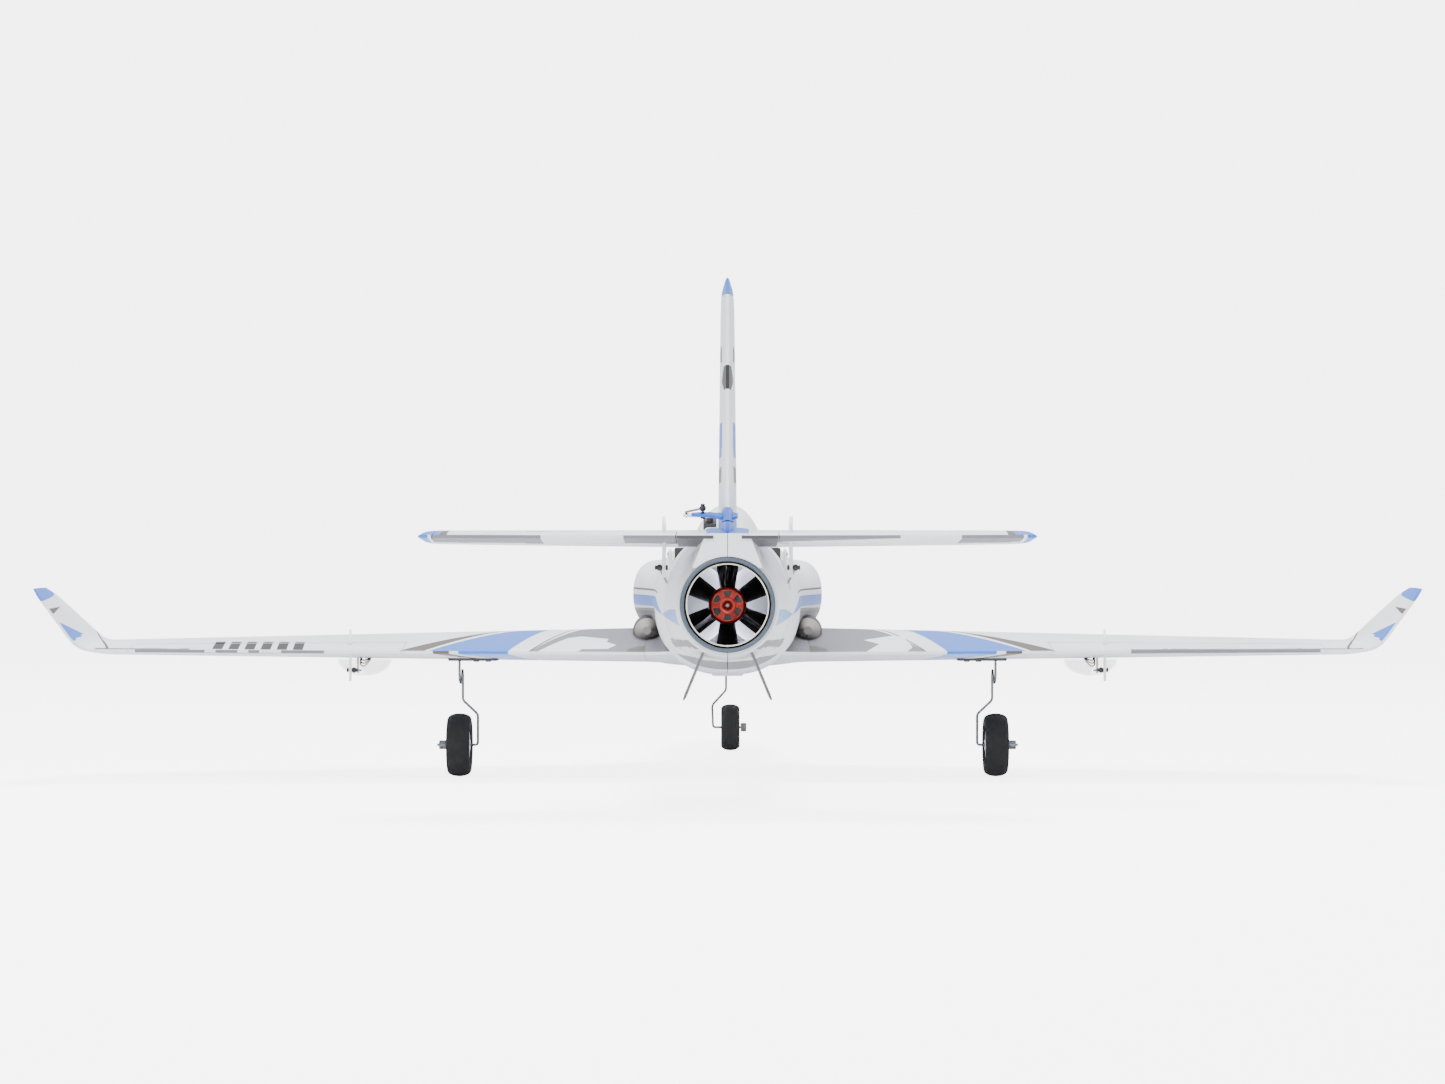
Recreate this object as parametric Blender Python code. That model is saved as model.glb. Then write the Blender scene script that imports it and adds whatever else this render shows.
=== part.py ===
"""Foam ducted-fan sport jet model with fixed wire tricycle gear, as separate pieces in one frame.

+X is starboard, +Y is forward and +Z is up. The ground is Z = 0, and the box is centred on X = Y = 0.
Constants and points are millimetres; every mesh is written in metres. "side" is 1 for starboard and
-1 for port, and each mirrored piece comes from one function.
"""
import math

import bmesh
import bpy
from mathutils import Matrix, Vector

MM = 0.001
GAP = 0.3                      # clearance between two pieces that touch
WELD = 8e-6                    # metres: points closer than this are one

# ---- fuselage -----------------------------------------------------------------------------------
NOSE_Y = 570.0
NOSE_JOINT_Y = 455.0           # the nose cone plugs on here
TAIL_FACE_Y = -531.0           # the nozzle ring closes the tail here
BODY_RING = 32                 # points round a body section
# y, half width, top, bottom, height of the widest point, squareness
BODY_STATIONS = [
    (570.0, 1.5, 119.5, 116.5, 118.0, 2.0),
    (564.0, 8.5, 126.5, 109.5, 118.0, 2.0),
    (545.0, 16.5, 136.0, 101.5, 118.5, 2.05),
    (505.0, 26.5, 149.0, 90.0, 119.5, 2.1),
    (455.0, 35.0, 160.0, 80.5, 121.0, 2.2),
    (400.0, 41.0, 169.0, 73.0, 123.0, 2.25),
    (350.0, 45.0, 175.0, 69.0, 125.0, 2.3),
    (250.0, 49.5, 183.0, 69.5, 128.0, 2.35),
    (150.0, 52.5, 187.0, 72.5, 130.0, 2.4),
    (60.0, 54.5, 188.5, 75.0, 131.0, 2.4),
    (0.0, 55.0, 188.5, 76.0, 131.5, 2.4),
    (-100.0, 55.0, 187.5, 79.5, 132.0, 2.35),
    (-200.0, 52.5, 186.0, 84.0, 132.5, 2.3),
    (-300.0, 48.0, 184.5, 89.0, 133.0, 2.25),
    (-400.0, 42.0, 182.5, 94.5, 133.5, 2.2),
    (-480.0, 36.5, 176.0, 99.5, 134.0, 2.1),
    (TAIL_FACE_Y, 32.4, 167.2, 102.2, 134.6, 2.0),
]
# canopy hump and spine: y, half width, top
HUMP_STATIONS = [
    (398.0, 6.0, 172.0),
    (380.0, 14.0, 181.0),
    (345.0, 22.5, 196.0),
    (300.0, 28.5, 208.0),
    (250.0, 31.5, 214.5),
    (210.0, 32.0, 215.5),
    (150.0, 31.0, 212.5),
    (60.0, 27.0, 204.0),
    (-30.0, 20.0, 195.0),
    (-110.0, 11.0, 187.0),
]
HUMP_BASE_Z = 150.0
# intake cheeks: y, centre x, half width, top, bottom
CHEEK_STATIONS = [
    (138.0, 58.0, 15.5, 164.0, 119.0),
    (120.0, 58.0, 17.0, 166.0, 116.0),
    (60.0, 56.0, 20.0, 167.0, 112.5),
    (0.0, 50.0, 22.0, 165.5, 112.5),
    (-70.0, 39.0, 20.0, 161.0, 114.0),
    (-140.0, 28.0, 18.0, 155.0, 117.0),
]
# flat-topped block between the two stabiliser halves: y, top half width, base half width, top
TAIL_BLOCK_STATIONS = [
    (-340.0, 10.0, 20.0, 179.0),
    (-385.0, 14.5, 27.0, 186.0),
    (-470.0, 14.5, 26.0, 184.5),
    (-547.0, 13.5, 22.0, 180.0),
]
TAIL_BLOCK_BASE_Z = 160.0

# ---- hollows in the fuselage ---------------------------------------------------------------------
HATCH_Y = (146.0, 404.0)
HATCH_FLOOR_Z = 160.0
CANOPY_Y = (214.0, 388.0)
CANOPY_SILL_Z = 185.5
CANOPY_WALL = 1.4
BAY_Y = (158.0, 436.0)
BAY_WALL = 8.0
BAY_FLOOR_Z = 86.0
# duct: y, centre x, half width, top, bottom
DUCT_STATIONS = [
    (145.0, 58.5, 10.5, 158.0, 125.0),
    (100.0, 58.5, 12.0, 159.0, 122.5),
    (40.0, 48.0, 16.0, 160.0, 113.0),
    (-40.0, 28.0, 22.0, 162.0, 106.0),
    (-100.0, 20.0, 18.0, 164.0, 102.0),
    (-136.0, 18.0, 16.5, 160.0, 106.0),
]
FAN_Z = 132.3
NOZZLE_Z = 134.6

# ---- fan and exhaust -----------------------------------------------------------------------------
FAN_FRONT_Y = -150.0
FAN_REAR_Y = -214.0
SHROUD_OUTER_R = 37.0
SHROUD_INNER_R = 35.3
HUB_R = 14.0
HUB_BORE_R = 13.5
HUB_WALL_Y = (-184.5, -181.5)
BELL_R = 13.1
BELL_Y = (-229.0, -186.0)
SHAFT_R = 2.0
ROTOR_HUB_R = 13.6
BLADES = 6
BLADE_TIP_R = 34.6
VANES = (90.0, 215.0, 325.0)
TUBE_FRONT_Y = FAN_REAR_Y - 0.6
TUBE_REAR_Y = -546.0
TUBE_FRONT_R = 36.9
TUBE_REAR_R = 26.4
TUBE_WALL = 0.8
RING_OUTER_R = 30.4
RING_INNER_R = 27.6
RING_Y = (-548.0, TAIL_FACE_Y - GAP)

# ---- wing ----------------------------------------------------------------------------------------
WING_ROOT_X = 62.0
# x, chord line height, cant, leading edge y, trailing edge y, upper and lower thickness
WING_STATIONS = [
    (62.0, 96.0, 0.0, 112.7, -149.7, 16.6, 9.8),
    (468.0, 98.4, 1.0, -25.0, -165.0, 6.3, 4.4),
    (476.5, 99.3, 12.0, -33.0, -167.0, 5.8, 4.1),
    (483.0, 102.8, 36.0, -44.0, -170.0, 5.2, 3.7),
    (488.0, 109.2, 52.0, -57.0, -174.0, 4.6, 3.4),
    (493.0, 117.2, 56.0, -74.0, -178.0, 4.1, 3.1),
    (500.0, 128.2, 57.0, -99.0, -184.0, 3.6, 2.8),
    (506.5, 138.5, 57.0, -123.0, -189.0, 3.0, 2.4),
    (509.8, 144.2, 57.0, -143.0, -191.0, 1.6, 1.4),
]
STUB_STATIONS = [
    (22.0, 97.0, 0.0, 128.0, -168.0, 33.0, 15.0),
    (46.0, 96.4, 0.0, 119.0, -157.0, 24.0, 12.0),
    (54.0, 96.1, 0.0, 115.0, -152.0, 18.6, 10.4),
    (WING_ROOT_X - GAP, 96.0, 0.0, 112.7, -149.7, 16.6, 9.8),
]
EDGE_HALF = 1.0                # half thickness of a foam trailing edge
TUBE_SPAR_Y = 8.0
TUBE_SPAR_Z = 93.0
TUBE_SPAR_R = 4.0
TUBE_SPAR_HALF = 205.0
AILERON_X = (243.0, 445.0)
AILERON_CHORD = (44.0, 36.0)

# ---- tail ----------------------------------------------------------------------------------------
STAB_ROOT_X = 9.0
# x, chord line height, cant, leading edge y, trailing edge y, upper and lower thickness
STAB_STATIONS = [
    (9.0, 177.6, 0.0, -400.0, -548.0, 5.6, 5.4),
    (150.0, 177.8, 0.0, -455.0, -556.5, 4.6, 4.4),
    (186.0, 177.9, 0.0, -472.0, -558.6, 4.2, 4.0),
    (193.0, 178.0, 0.0, -482.0, -557.0, 3.4, 3.2),
    (196.0, 178.0, 0.0, -500.0, -549.0, 1.4, 1.3),
]
ELEVATOR_X = (33.0, 186.0)
ELEVATOR_CHORD = (38.0, 32.0)
# z, leading edge y, trailing edge y, half thickness
FIN_STATIONS = [
    (178.0, -318.0, -538.0, 6.2),
    (187.0, -332.0, -540.0, 6.0),
    (320.0, -470.0, -566.0, 4.2),
    (333.0, -486.0, -569.0, 3.6),
    (340.0, -512.0, -570.0, 1.6),
]
RUDDER_Z = (188.5, 330.0)
RUDDER_CHORD = (43.0, 34.0)
FIN_TAB_REAR_Y = -486.0
VENTRAL_Y = (-420.0, -500.0)
VENTRAL_ROOT = (15.0, 105.0)
VENTRAL_TIP = (28.4, 72.8)
VENTRAL_THICKNESS = 2.0

# ---- linkages ------------------------------------------------------------------------------------
AILERON_HORN_X = 285.0
AILERON_ARM = 15.5             # hinge axis to rod hole, and servo axis to rod hole
AILERON_ROD = (-1.9, 50.0, -1.5)   # from the horn's hole to the servo arm's hole, on the right wing
ELEVATOR_HORN_X = 41.0
ELEVATOR_ARM = 19.3
ELEVATOR_ROD = (-3.2, 146.0, -9.5)
RUDDER_ARM = 16.0
RUDDER_ROD = (-12.0, 122.0, 0.5)
RUDDER_HORN_RISE = 4.5
ROD_R = 0.8
ROD_OFFSET = 1.1               # rod's middle from a servo arm's gap
LINK_R = 1.6
LINK_BEHIND = 3.4
LINK_AHEAD = 7.0
PIN_R = 0.7
HOLE_R = 1.15
BORE_REACH = 6.0
HORN_THICKNESS = 1.8
ARM_OFFSET = 1.4               # a servo arm's plane from its servo's face
BOSS_R = 3.0
BOSS_LIP = 1.4
# horn outlines: (ahead of the hinge line, across it)
AILERON_HORN = [(1.5, 9.0), (0.5, 15.2), (-2.5, 15.2), (-11.5, 8.0), (-11.5, -6.5), (-3.2, -15.5),
                (-2.4, -23.0), (2.0, -24.2), (3.0, -15.5), (1.5, -8.0)]
ELEVATOR_HORN = [(-2.2, -25.0), (1.7, -26.0), (3.1, -18.4), (1.5, -7.6), (1.5, 8.0), (0.6, 13.6),
                 (-2.3, 13.6), (-9.5, 6.8), (-9.5, -6.2), (-3.1, -17.2)]
RUDDER_HORN = [(0.7, 3.0), (2.9, 12.0), (3.4, 18.0), (1.6, 23.5), (-1.8, 23.5), (-3.4, 18.0),
               (-6.0, 9.0), (-10.5, 5.5), (-10.5, -6.8), (0.4, -6.8)]

# ---- landing gear --------------------------------------------------------------------------------
MAIN_X = 206.0
MAIN_Y = -70.0
MAIN_WHEEL_R = 24.2
MAIN_WHEEL_WIDTH = 18.0
NOSE_GEAR_Y = 350.0
NOSE_WHEEL_X = 2.5
NOSE_WHEEL_R = 20.45
NOSE_WHEEL_WIDTH = 16.5
NOSE_LEG_X = -1.3
WIRE_R = 1.0
COIL_R = 4.8
HUB_BORE_CLEARANCE = 0.25
WHEEL_SEGMENTS = 20


# ==== building blocks =============================================================================
def make_material(name, colour, roughness, metallic=0.0, alpha=1.0):
    """A Principled material of its own for one piece."""
    item = bpy.data.materials.new(name + "_material")
    item.use_nodes = True
    shader = item.node_tree.nodes["Principled BSDF"]
    shader.inputs["Base Color"].default_value = (*colour, 1.0)
    shader.inputs["Roughness"].default_value = roughness
    shader.inputs["Metallic"].default_value = metallic
    shader.inputs["Alpha"].default_value = alpha
    item.diffuse_color = (*colour, alpha)
    return item


def add_object(name, bm):
    """An object from a bmesh in millimetres, its end caps in triangles and its faces outwards."""
    bmesh.ops.triangulate(bm, faces=[face for face in bm.faces if len(face.verts) > 4])
    bmesh.ops.recalc_face_normals(bm, faces=bm.faces)
    bmesh.ops.scale(bm, vec=(MM, MM, MM), verts=bm.verts)
    mesh = bpy.data.meshes.new(name)
    bm.to_mesh(mesh)
    bm.free()
    item = bpy.data.objects.new(name, mesh)
    bpy.context.scene.collection.objects.link(item)
    return item


def loft(name, rings):
    """A closed solid through rings of points, with flat end caps."""
    bm = bmesh.new()
    loops = [[bm.verts.new(point) for point in ring] for ring in rings]
    count = len(loops[0])
    for near, far in zip(loops, loops[1:]):
        for i in range(count):
            j = (i + 1) % count
            bm.faces.new((near[i], near[j], far[j], far[i]))
    bm.faces.new(loops[0])
    bm.faces.new(list(reversed(loops[-1])))
    return add_object(name, bm)


def box(name, low, high, bevel=0.0):
    """A block between two corners, its edges eased when bevel is given."""
    bm = bmesh.new()
    bmesh.ops.create_cube(bm, size=1.0)
    for vert in bm.verts:
        for k in range(3):
            vert.co[k] = low[k] if vert.co[k] < 0 else high[k]
    if bevel:
        bmesh.ops.bevel(bm, geom=bm.edges, offset=bevel, segments=1, affect="EDGES")
    return add_object(name, bm)


def turned(name, profile, axis, centre, segments):
    """A closed ring or disc: profile is (radius, distance along axis), turned round axis."""
    across, up = (1, 2) if axis == 0 else ((0, 2) if axis == 1 else (0, 1))
    bm = bmesh.new()
    loops = []
    for k in range(segments):
        angle = math.tau * k / segments
        ring = []
        for radius, along in profile:
            point = Vector(centre)
            point[axis] += along
            point[across] += radius * math.sin(angle)
            point[up] -= radius * math.cos(angle)
            ring.append(bm.verts.new(point))
        loops.append(ring)
    for near, far in zip(loops, loops[1:] + loops[:1]):
        for i in range(len(profile)):
            j = (i + 1) % len(profile)
            bm.faces.new((near[i], near[j], far[j], far[i]))
    bmesh.ops.remove_doubles(bm, verts=bm.verts, dist=0.0005)
    return add_object(name, bm)


def rod_between(name, start, end, radius, segments=8):
    """A plain cylinder from one point to another."""
    start, end = Vector(start), Vector(end)
    bm = bmesh.new()
    bmesh.ops.create_cone(bm, cap_ends=True, segments=segments, radius1=radius, radius2=radius,
                          depth=(end - start).length)
    turn = (end - start).to_track_quat("Z", "Y").to_matrix().to_4x4()
    bm.transform(Matrix.Translation((start + end) / 2) @ turn)
    return add_object(name, bm)


def wire(name, points, radius, sides=6):
    """A bent wire of round section through the points, with flat ends."""
    points = [Vector(point) for point in points]
    rings = []
    side = None
    for i, point in enumerate(points):
        ahead = points[min(i + 1, len(points) - 1)] - points[max(i - 1, 0)]
        ahead.normalize()
        if side is None:
            side = ahead.orthogonal().normalized()
        side = (side - ahead * side.dot(ahead)).normalized()
        over = ahead.cross(side)
        rings.append([
            point + radius * (math.cos(math.tau * k / sides) * side
                              + math.sin(math.tau * k / sides) * over)
            for k in range(sides)
        ])
    return loft(name, rings)


def plate(name, outline, place, thickness):
    """A flat plate: outline is (forward, up) points, and place(along, forward, up) puts them."""
    rings = [[place(side * thickness / 2, a, b) for a, b in outline] for side in (-1, 1)]
    return loft(name, rings)


def combine(item, tool, operation):
    """Apply a Boolean of tool to item and remove the tool."""
    cut = item.modifiers.new("cut", "BOOLEAN")
    cut.operation = operation
    cut.solver = "EXACT"
    cut.object = tool
    bpy.context.view_layer.update()
    graph = bpy.context.evaluated_depsgraph_get()
    mesh = bpy.data.meshes.new_from_object(item.evaluated_get(graph))
    item.modifiers.clear()
    old = item.data
    item.data = mesh
    bpy.data.meshes.remove(old)
    mesh.name = item.name
    bpy.data.objects.remove(tool)
    return item


def cut_away(item, *tools):
    for tool in tools:
        combine(item, tool, "DIFFERENCE")
    return item


def join(item, *tools):
    for tool in tools:
        combine(item, tool, "UNION")
    return item


def copy_of(item, name):
    """A separate copy of an object with its own mesh."""
    twin = bpy.data.objects.new(name, item.data.copy())
    bpy.context.scene.collection.objects.link(twin)
    return twin


def finish(item, colour, roughness, metallic=0.0, alpha=1.0, origin=None, smooth=35.0):
    """Weld and shade a piece, give it its material, and put its origin on its axis."""
    bm = bmesh.new()
    bm.from_mesh(item.data)
    bmesh.ops.remove_doubles(bm, verts=bm.verts, dist=WELD)
    bmesh.ops.dissolve_degenerate(bm, dist=WELD, edges=bm.edges)
    if bm.calc_volume(signed=True) < 0:
        bmesh.ops.reverse_faces(bm, faces=bm.faces)
    bm.to_mesh(item.data)
    bm.free()
    item.data.materials.clear()
    item.data.materials.append(make_material(item.name, colour, roughness, metallic, alpha))
    item.data.shade_smooth()
    item.data.set_sharp_from_angle(angle=math.radians(smooth))
    if origin is not None:
        place = Vector(origin) * MM
        item.data.transform(Matrix.Translation(-place))
        item.location = place
    return item


# ==== shapes shared by several pieces =============================================================
def mixed(stations, at):
    """The station values at a distance, straight between the listed ones."""
    rows = sorted(stations)
    for near, far in zip(rows, rows[1:]):
        if at <= far[0]:
            break
    share = (at - near[0]) / (far[0] - near[0])
    return [a + (b - a) * share for a, b in zip(near, far)]


def oval(y, half_width, top, bottom, widest_z, squareness, centre_x=0.0, count=BODY_RING):
    """A squared oval across the fuselage at y."""
    ring = []
    for k in range(count):
        angle = math.tau * k / count
        c, s = math.cos(angle), math.sin(angle)
        x = centre_x + half_width * math.copysign(abs(c) ** (2 / squareness), c)
        rise = top - widest_z if s > 0 else widest_z - bottom
        z = widest_z + rise * math.copysign(abs(s) ** (2 / squareness), s)
        ring.append((x, y, z))
    return ring


def side_oval(row, squareness, side, count=20):
    """A squared oval for a cheek or duct row, on one side."""
    y, centre_x, half_width, top, bottom = row
    return oval(y, half_width, top, bottom, (top + bottom) / 2, squareness, side * centre_x, count)


def foil_shape(c):
    """Thickness of a plain aerofoil at c from the leading edge, 1 at its thickest."""
    return 10 * (0.2969 * math.sqrt(c) - 0.126 * c - 0.3516 * c**2 + 0.2843 * c**3 - 0.1036 * c**4)


CHORD_POINTS = (1.0, 0.85, 0.68, 0.5, 0.34, 0.2, 0.1, 0.035)


def foil_point(row, c, upper, side=1):
    """A point on a wing or stabiliser section: row as in WING_STATIONS."""
    x, z, cant, lead, trail, up, low = row
    edge = EDGE_HALF * min(1.0, up / 3.0) * c
    lift = up * foil_shape(c) + edge if upper else -(low * foil_shape(c) + edge)
    lean = math.radians(cant)
    return Vector((side * (x - lift * math.sin(lean)), lead + (trail - lead) * c,
                   z + lift * math.cos(lean)))


def foil_ring(row, side=1):
    """One closed section, from the upper trailing edge round the nose to the lower one."""
    upper = [foil_point(row, c, True, side) for c in CHORD_POINTS]
    nose = [foil_point(row, 0.0, True, side)]
    lower = [foil_point(row, c, False, side) for c in reversed(CHORD_POINTS)]
    return upper + nose + lower


def skin_z(stations, x, y, upper):
    """Height of the upper or lower skin of a flat panel at x and y."""
    row = mixed(stations, x)
    c = (y - row[3]) / (row[4] - row[3])
    return foil_point(row, c, upper)[2]


class Hinge:
    """A control surface's hinge line, with directions along, ahead of and above it."""

    def __init__(self, start, end):
        self.start = Vector(start)
        self.end = Vector(end)
        self.axis = (self.end - self.start).normalized()
        self.ahead = (Vector((0, 1, 0)) - self.axis * self.axis.y).normalized()
        self.above = self.axis.cross(self.ahead)

    def at(self, share):
        return self.start.lerp(self.end, share)

    def place_from(self, centre):
        """A placer of (along, ahead, above) offsets from a point."""
        return lambda along, ahead, above: (
            centre + self.axis * along + self.ahead * ahead + self.above * above)


def panel_hinge(stations, span, chords, side):
    """The hinge line of a wing or tail panel, running towards +X on both sides."""
    ends = []
    for x, chord in zip(span, chords):
        row = mixed(stations, x)
        y = row[4] + chord
        z = (skin_z(stations, x, y, True) + skin_z(stations, x, y, False)) / 2
        ends.append(Vector((side * x, y, z)))
    return Hinge(*(ends if side > 0 else reversed(ends)))


def surface_ring(stations, x, hinge_y, side, growth=0.0):
    """A control surface's section at x: a round nose on the hinge line, then both skins."""
    row = mixed(stations, x)
    top = skin_z(stations, x, hinge_y, True)
    bottom = skin_z(stations, x, hinge_y, False)
    radius = (top - bottom) / 2 + growth
    middle = (top + bottom) / 2
    ring = []
    for k in range(7):
        angle = math.radians(-90 + 30 * k)
        ring.append(Vector((side * x, hinge_y + radius * math.cos(angle),
                            middle + radius * math.sin(angle))))
    for share in (0.35, 0.7, 1.0):
        y = hinge_y + (row[4] - hinge_y) * share
        ring.append(Vector((side * x, y, skin_z(stations, x, y, True))))
    for share in (1.0, 0.7, 0.35):
        y = hinge_y + (row[4] - hinge_y) * share
        ring.append(Vector((side * x, y, skin_z(stations, x, y, False))))
    return ring


def body_loft(name, front, rear, inset=0.0):
    """The fuselage's outer form between two stations, or a copy inset all round."""
    ys = [row[0] for row in BODY_STATIONS if rear < row[0] < front]
    rings = []
    for y in [front] + ys + [rear]:
        _, wide, top, bottom, widest, square = mixed(BODY_STATIONS, y)
        rings.append(oval(y, wide - inset, top - inset, bottom + inset, widest, square))
    return loft(name, rings)


def hump_loft(name, inset=0.0):
    rings = []
    for y, wide, top in HUMP_STATIONS:
        if inset:
            wide, top = max(wide - inset, 1.0), top - inset
        rings.append(oval(y, wide, top, HUMP_BASE_Z, HUMP_BASE_Z + 12, 2.0, count=28))
    return loft(name, rings)


def fin_ring(z, lead, trail, half):
    """A fin section at height z."""
    points = []
    for side, chords in ((1, CHORD_POINTS), (-1, tuple(reversed(CHORD_POINTS)))):
        for c in chords:
            x = side * (half * foil_shape(c) + EDGE_HALF * min(1.0, half / 3.0) * c)
            points.append(Vector((x, lead + (trail - lead) * c, z)))
        if side == 1:
            points.append(Vector((0, lead, z)))
    return points


def fin_half_thickness(z, y):
    """Half the fin's thickness at a height and a distance along it."""
    _, lead, trail, half = mixed(FIN_STATIONS, z)
    c = (y - lead) / (trail - lead)
    return half * foil_shape(c) + EDGE_HALF * c


def rudder_hinge():
    ends = []
    for z, chord in zip(RUDDER_Z, RUDDER_CHORD):
        ends.append(Vector((0, mixed(FIN_STATIONS, z)[2] + chord, z)))
    return Hinge(*ends)


# ==== pieces: fuselage ============================================================================
FOAM = (0.86, 0.87, 0.9)
BLACK = (0.02, 0.02, 0.022)
STEEL = (0.42, 0.43, 0.44)
HUB_WHITE = (0.82, 0.83, 0.85)
HORN_WHITE = (0.85, 0.86, 0.88)
HORN_BLUE = (0.05, 0.28, 0.75)
ARM_WHITE = (0.85, 0.85, 0.85)
SERVO_BLACK = (0.03, 0.03, 0.035)


def outer_form():
    """The whole outer foam form, before it is split and hollowed."""
    form = body_loft("outer_form", NOSE_JOINT_Y - GAP, TAIL_FACE_Y)
    block = loft("block", [
        [(-base, y, TAIL_BLOCK_BASE_Z), (base, y, TAIL_BLOCK_BASE_Z), (wide, y, top), (-wide, y, top)]
        for y, wide, base, top in TAIL_BLOCK_STATIONS
    ])
    join(form, hump_loft("hump"), block)
    for side in (1, -1):
        cheek = loft("cheek", [side_oval(row, 2.3, side) for row in CHEEK_STATIONS])
        stub = loft("stub", [foil_ring(row, side) for row in STUB_STATIONS])
        join(form, cheek, stub)
    return form


def tunnel_cutter():
    """Seat for the fan, then a taper for the thrust tube, open at the tail."""
    tail = (0, 0, NOZZLE_Z - FAN_Z)
    rings = []
    for y, radius in ((-128.0, SHROUD_OUTER_R - 1), (-149.0, SHROUD_OUTER_R - 1),
                      (-149.4, SHROUD_OUTER_R + GAP), (TUBE_FRONT_Y - 1, SHROUD_OUTER_R + GAP),
                      (-560.0, TUBE_REAR_R + GAP)):
        share = max(0.0, (TUBE_FRONT_Y - y) / (TUBE_FRONT_Y - TUBE_REAR_Y))
        centre = FAN_Z + tail[2] * min(share, 1.0)
        rings.append([(radius * math.sin(math.tau * k / 32), y,
                       centre + radius * math.cos(math.tau * k / 32)) for k in range(32)])
    return loft("tunnel", rings)


def hollow(form):
    """Cut every hollow and seat that the fuselage holds."""
    bay_rings = []
    for y in (BAY_Y[0], 250.0, 350.0, BAY_Y[1]):
        _, wide, top, bottom, widest, square = mixed(BODY_STATIONS, y)
        floor = max(BAY_FLOOR_Z, bottom + BAY_WALL)
        bay_rings.append(oval(y, wide - BAY_WALL, top - BAY_WALL, floor, widest, 2.8, count=24))
    cut_away(form, loft("bay", bay_rings), tunnel_cutter())
    for side in (1, -1):
        duct = loft("duct", [side_oval(row, 2.2, side) for row in DUCT_STATIONS])
        cut_away(form, duct, elevator_servo_seat(side), ventral_fin("slot", side, GAP))
        slot = [(x, z, cant, lead + GAP * 3, trail - 3, up + GAP, low + GAP)
                for x, z, cant, lead, trail, up, low in STAB_STATIONS[:2]]
        slot[0] = (STAB_ROOT_X - GAP,) + slot[0][1:]
        cut_away(form, loft("stab_slot", [foil_ring(row, side) for row in slot]))
    cut_away(
        form,
        rod_between("spar_hole", (-90, TUBE_SPAR_Y, TUBE_SPAR_Z), (90, TUBE_SPAR_Y, TUBE_SPAR_Z),
                    TUBE_SPAR_R + GAP, 16),
        turned("ring_seat", [(0, -40), (RING_OUTER_R + GAP, -40), (RING_OUTER_R + GAP, 0), (0, 0)],
               1, (0, TAIL_FACE_Y, NOZZLE_Z), 32),
        fin_slot(),
        rudder_servo_seat(),
        box("nose_mount_seat", (-14 - GAP, NOSE_GEAR_Y - 14 - GAP, 60),
            (14 + GAP, NOSE_GEAR_Y + 14 + GAP, 92)),
    )
    return form


def fin_slot():
    rings = []
    for z in (177.5, 190.0):
        _, lead, trail, half = mixed(FIN_STATIONS, max(z, 178.0))
        rings.append([(side * (half + EDGE_HALF + GAP), y, z) for side, y in (
            (1, lead + 1), (1, FIN_TAB_REAR_Y - GAP), (-1, FIN_TAB_REAR_Y - GAP), (-1, lead + 1))])
    return loft("fin_slot", rings)


def fuselage():
    """Left and right foam shells, nose cone, battery hatch and canopy."""
    form = outer_form()
    lid_zone = ((-70, HATCH_Y[0], HATCH_FLOOR_Z), (70, HATCH_Y[1], 240))
    hatch = copy_of(form, "hatch")
    combine(hatch, box("zone", lid_zone[0], lid_zone[1]), "INTERSECT")
    grown = [[v + s * GAP for v, s in zip(corner, signs)]
             for corner, signs in zip(lid_zone, ((-1, -1, -1), (1, 1, 1)))]
    hollow(form)
    cut_away(form, box("zone", *grown))
    for side, name in ((1, "fuselage_right"), (-1, "fuselage_left")):
        half = copy_of(form, name)
        near, far = sorted((side * GAP / 2, side * 130.0))
        combine(half, box("half", (near, -600, 0), (far, 600, 260)), "INTERSECT")
        finish(half, FOAM, 0.55)
    bpy.data.objects.remove(form)

    canopy_zone = ((-60, CANOPY_Y[0], CANOPY_SILL_Z), (60, CANOPY_Y[1], 240))
    canopy = hump_loft("canopy")
    combine(canopy, box("zone", (-60, CANOPY_Y[0] + GAP, CANOPY_SILL_Z + GAP), canopy_zone[1]),
            "INTERSECT")
    cut_away(canopy, hump_loft("inside", CANOPY_WALL))
    finish(canopy, (0.05, 0.06, 0.08), 0.08, alpha=0.55)

    cut_away(hatch, box("zone", *canopy_zone))
    inner = body_loft("inner", HATCH_Y[1] - 7, HATCH_Y[0] + 7, 7.0)
    cut_away(hatch, inner)
    well = hump_loft("well", 6.0)
    combine(well, box("zone", (-60, CANOPY_Y[0] + 6, 176), (60, CANOPY_Y[1] - 40, 240)), "INTERSECT")
    cut_away(hatch, well)
    finish(hatch, FOAM, 0.5, origin=(0, HATCH_Y[0], HATCH_FLOOR_Z))

    finish(body_loft("nose_cone", NOSE_Y, NOSE_JOINT_Y), FOAM, 0.5)


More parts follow.
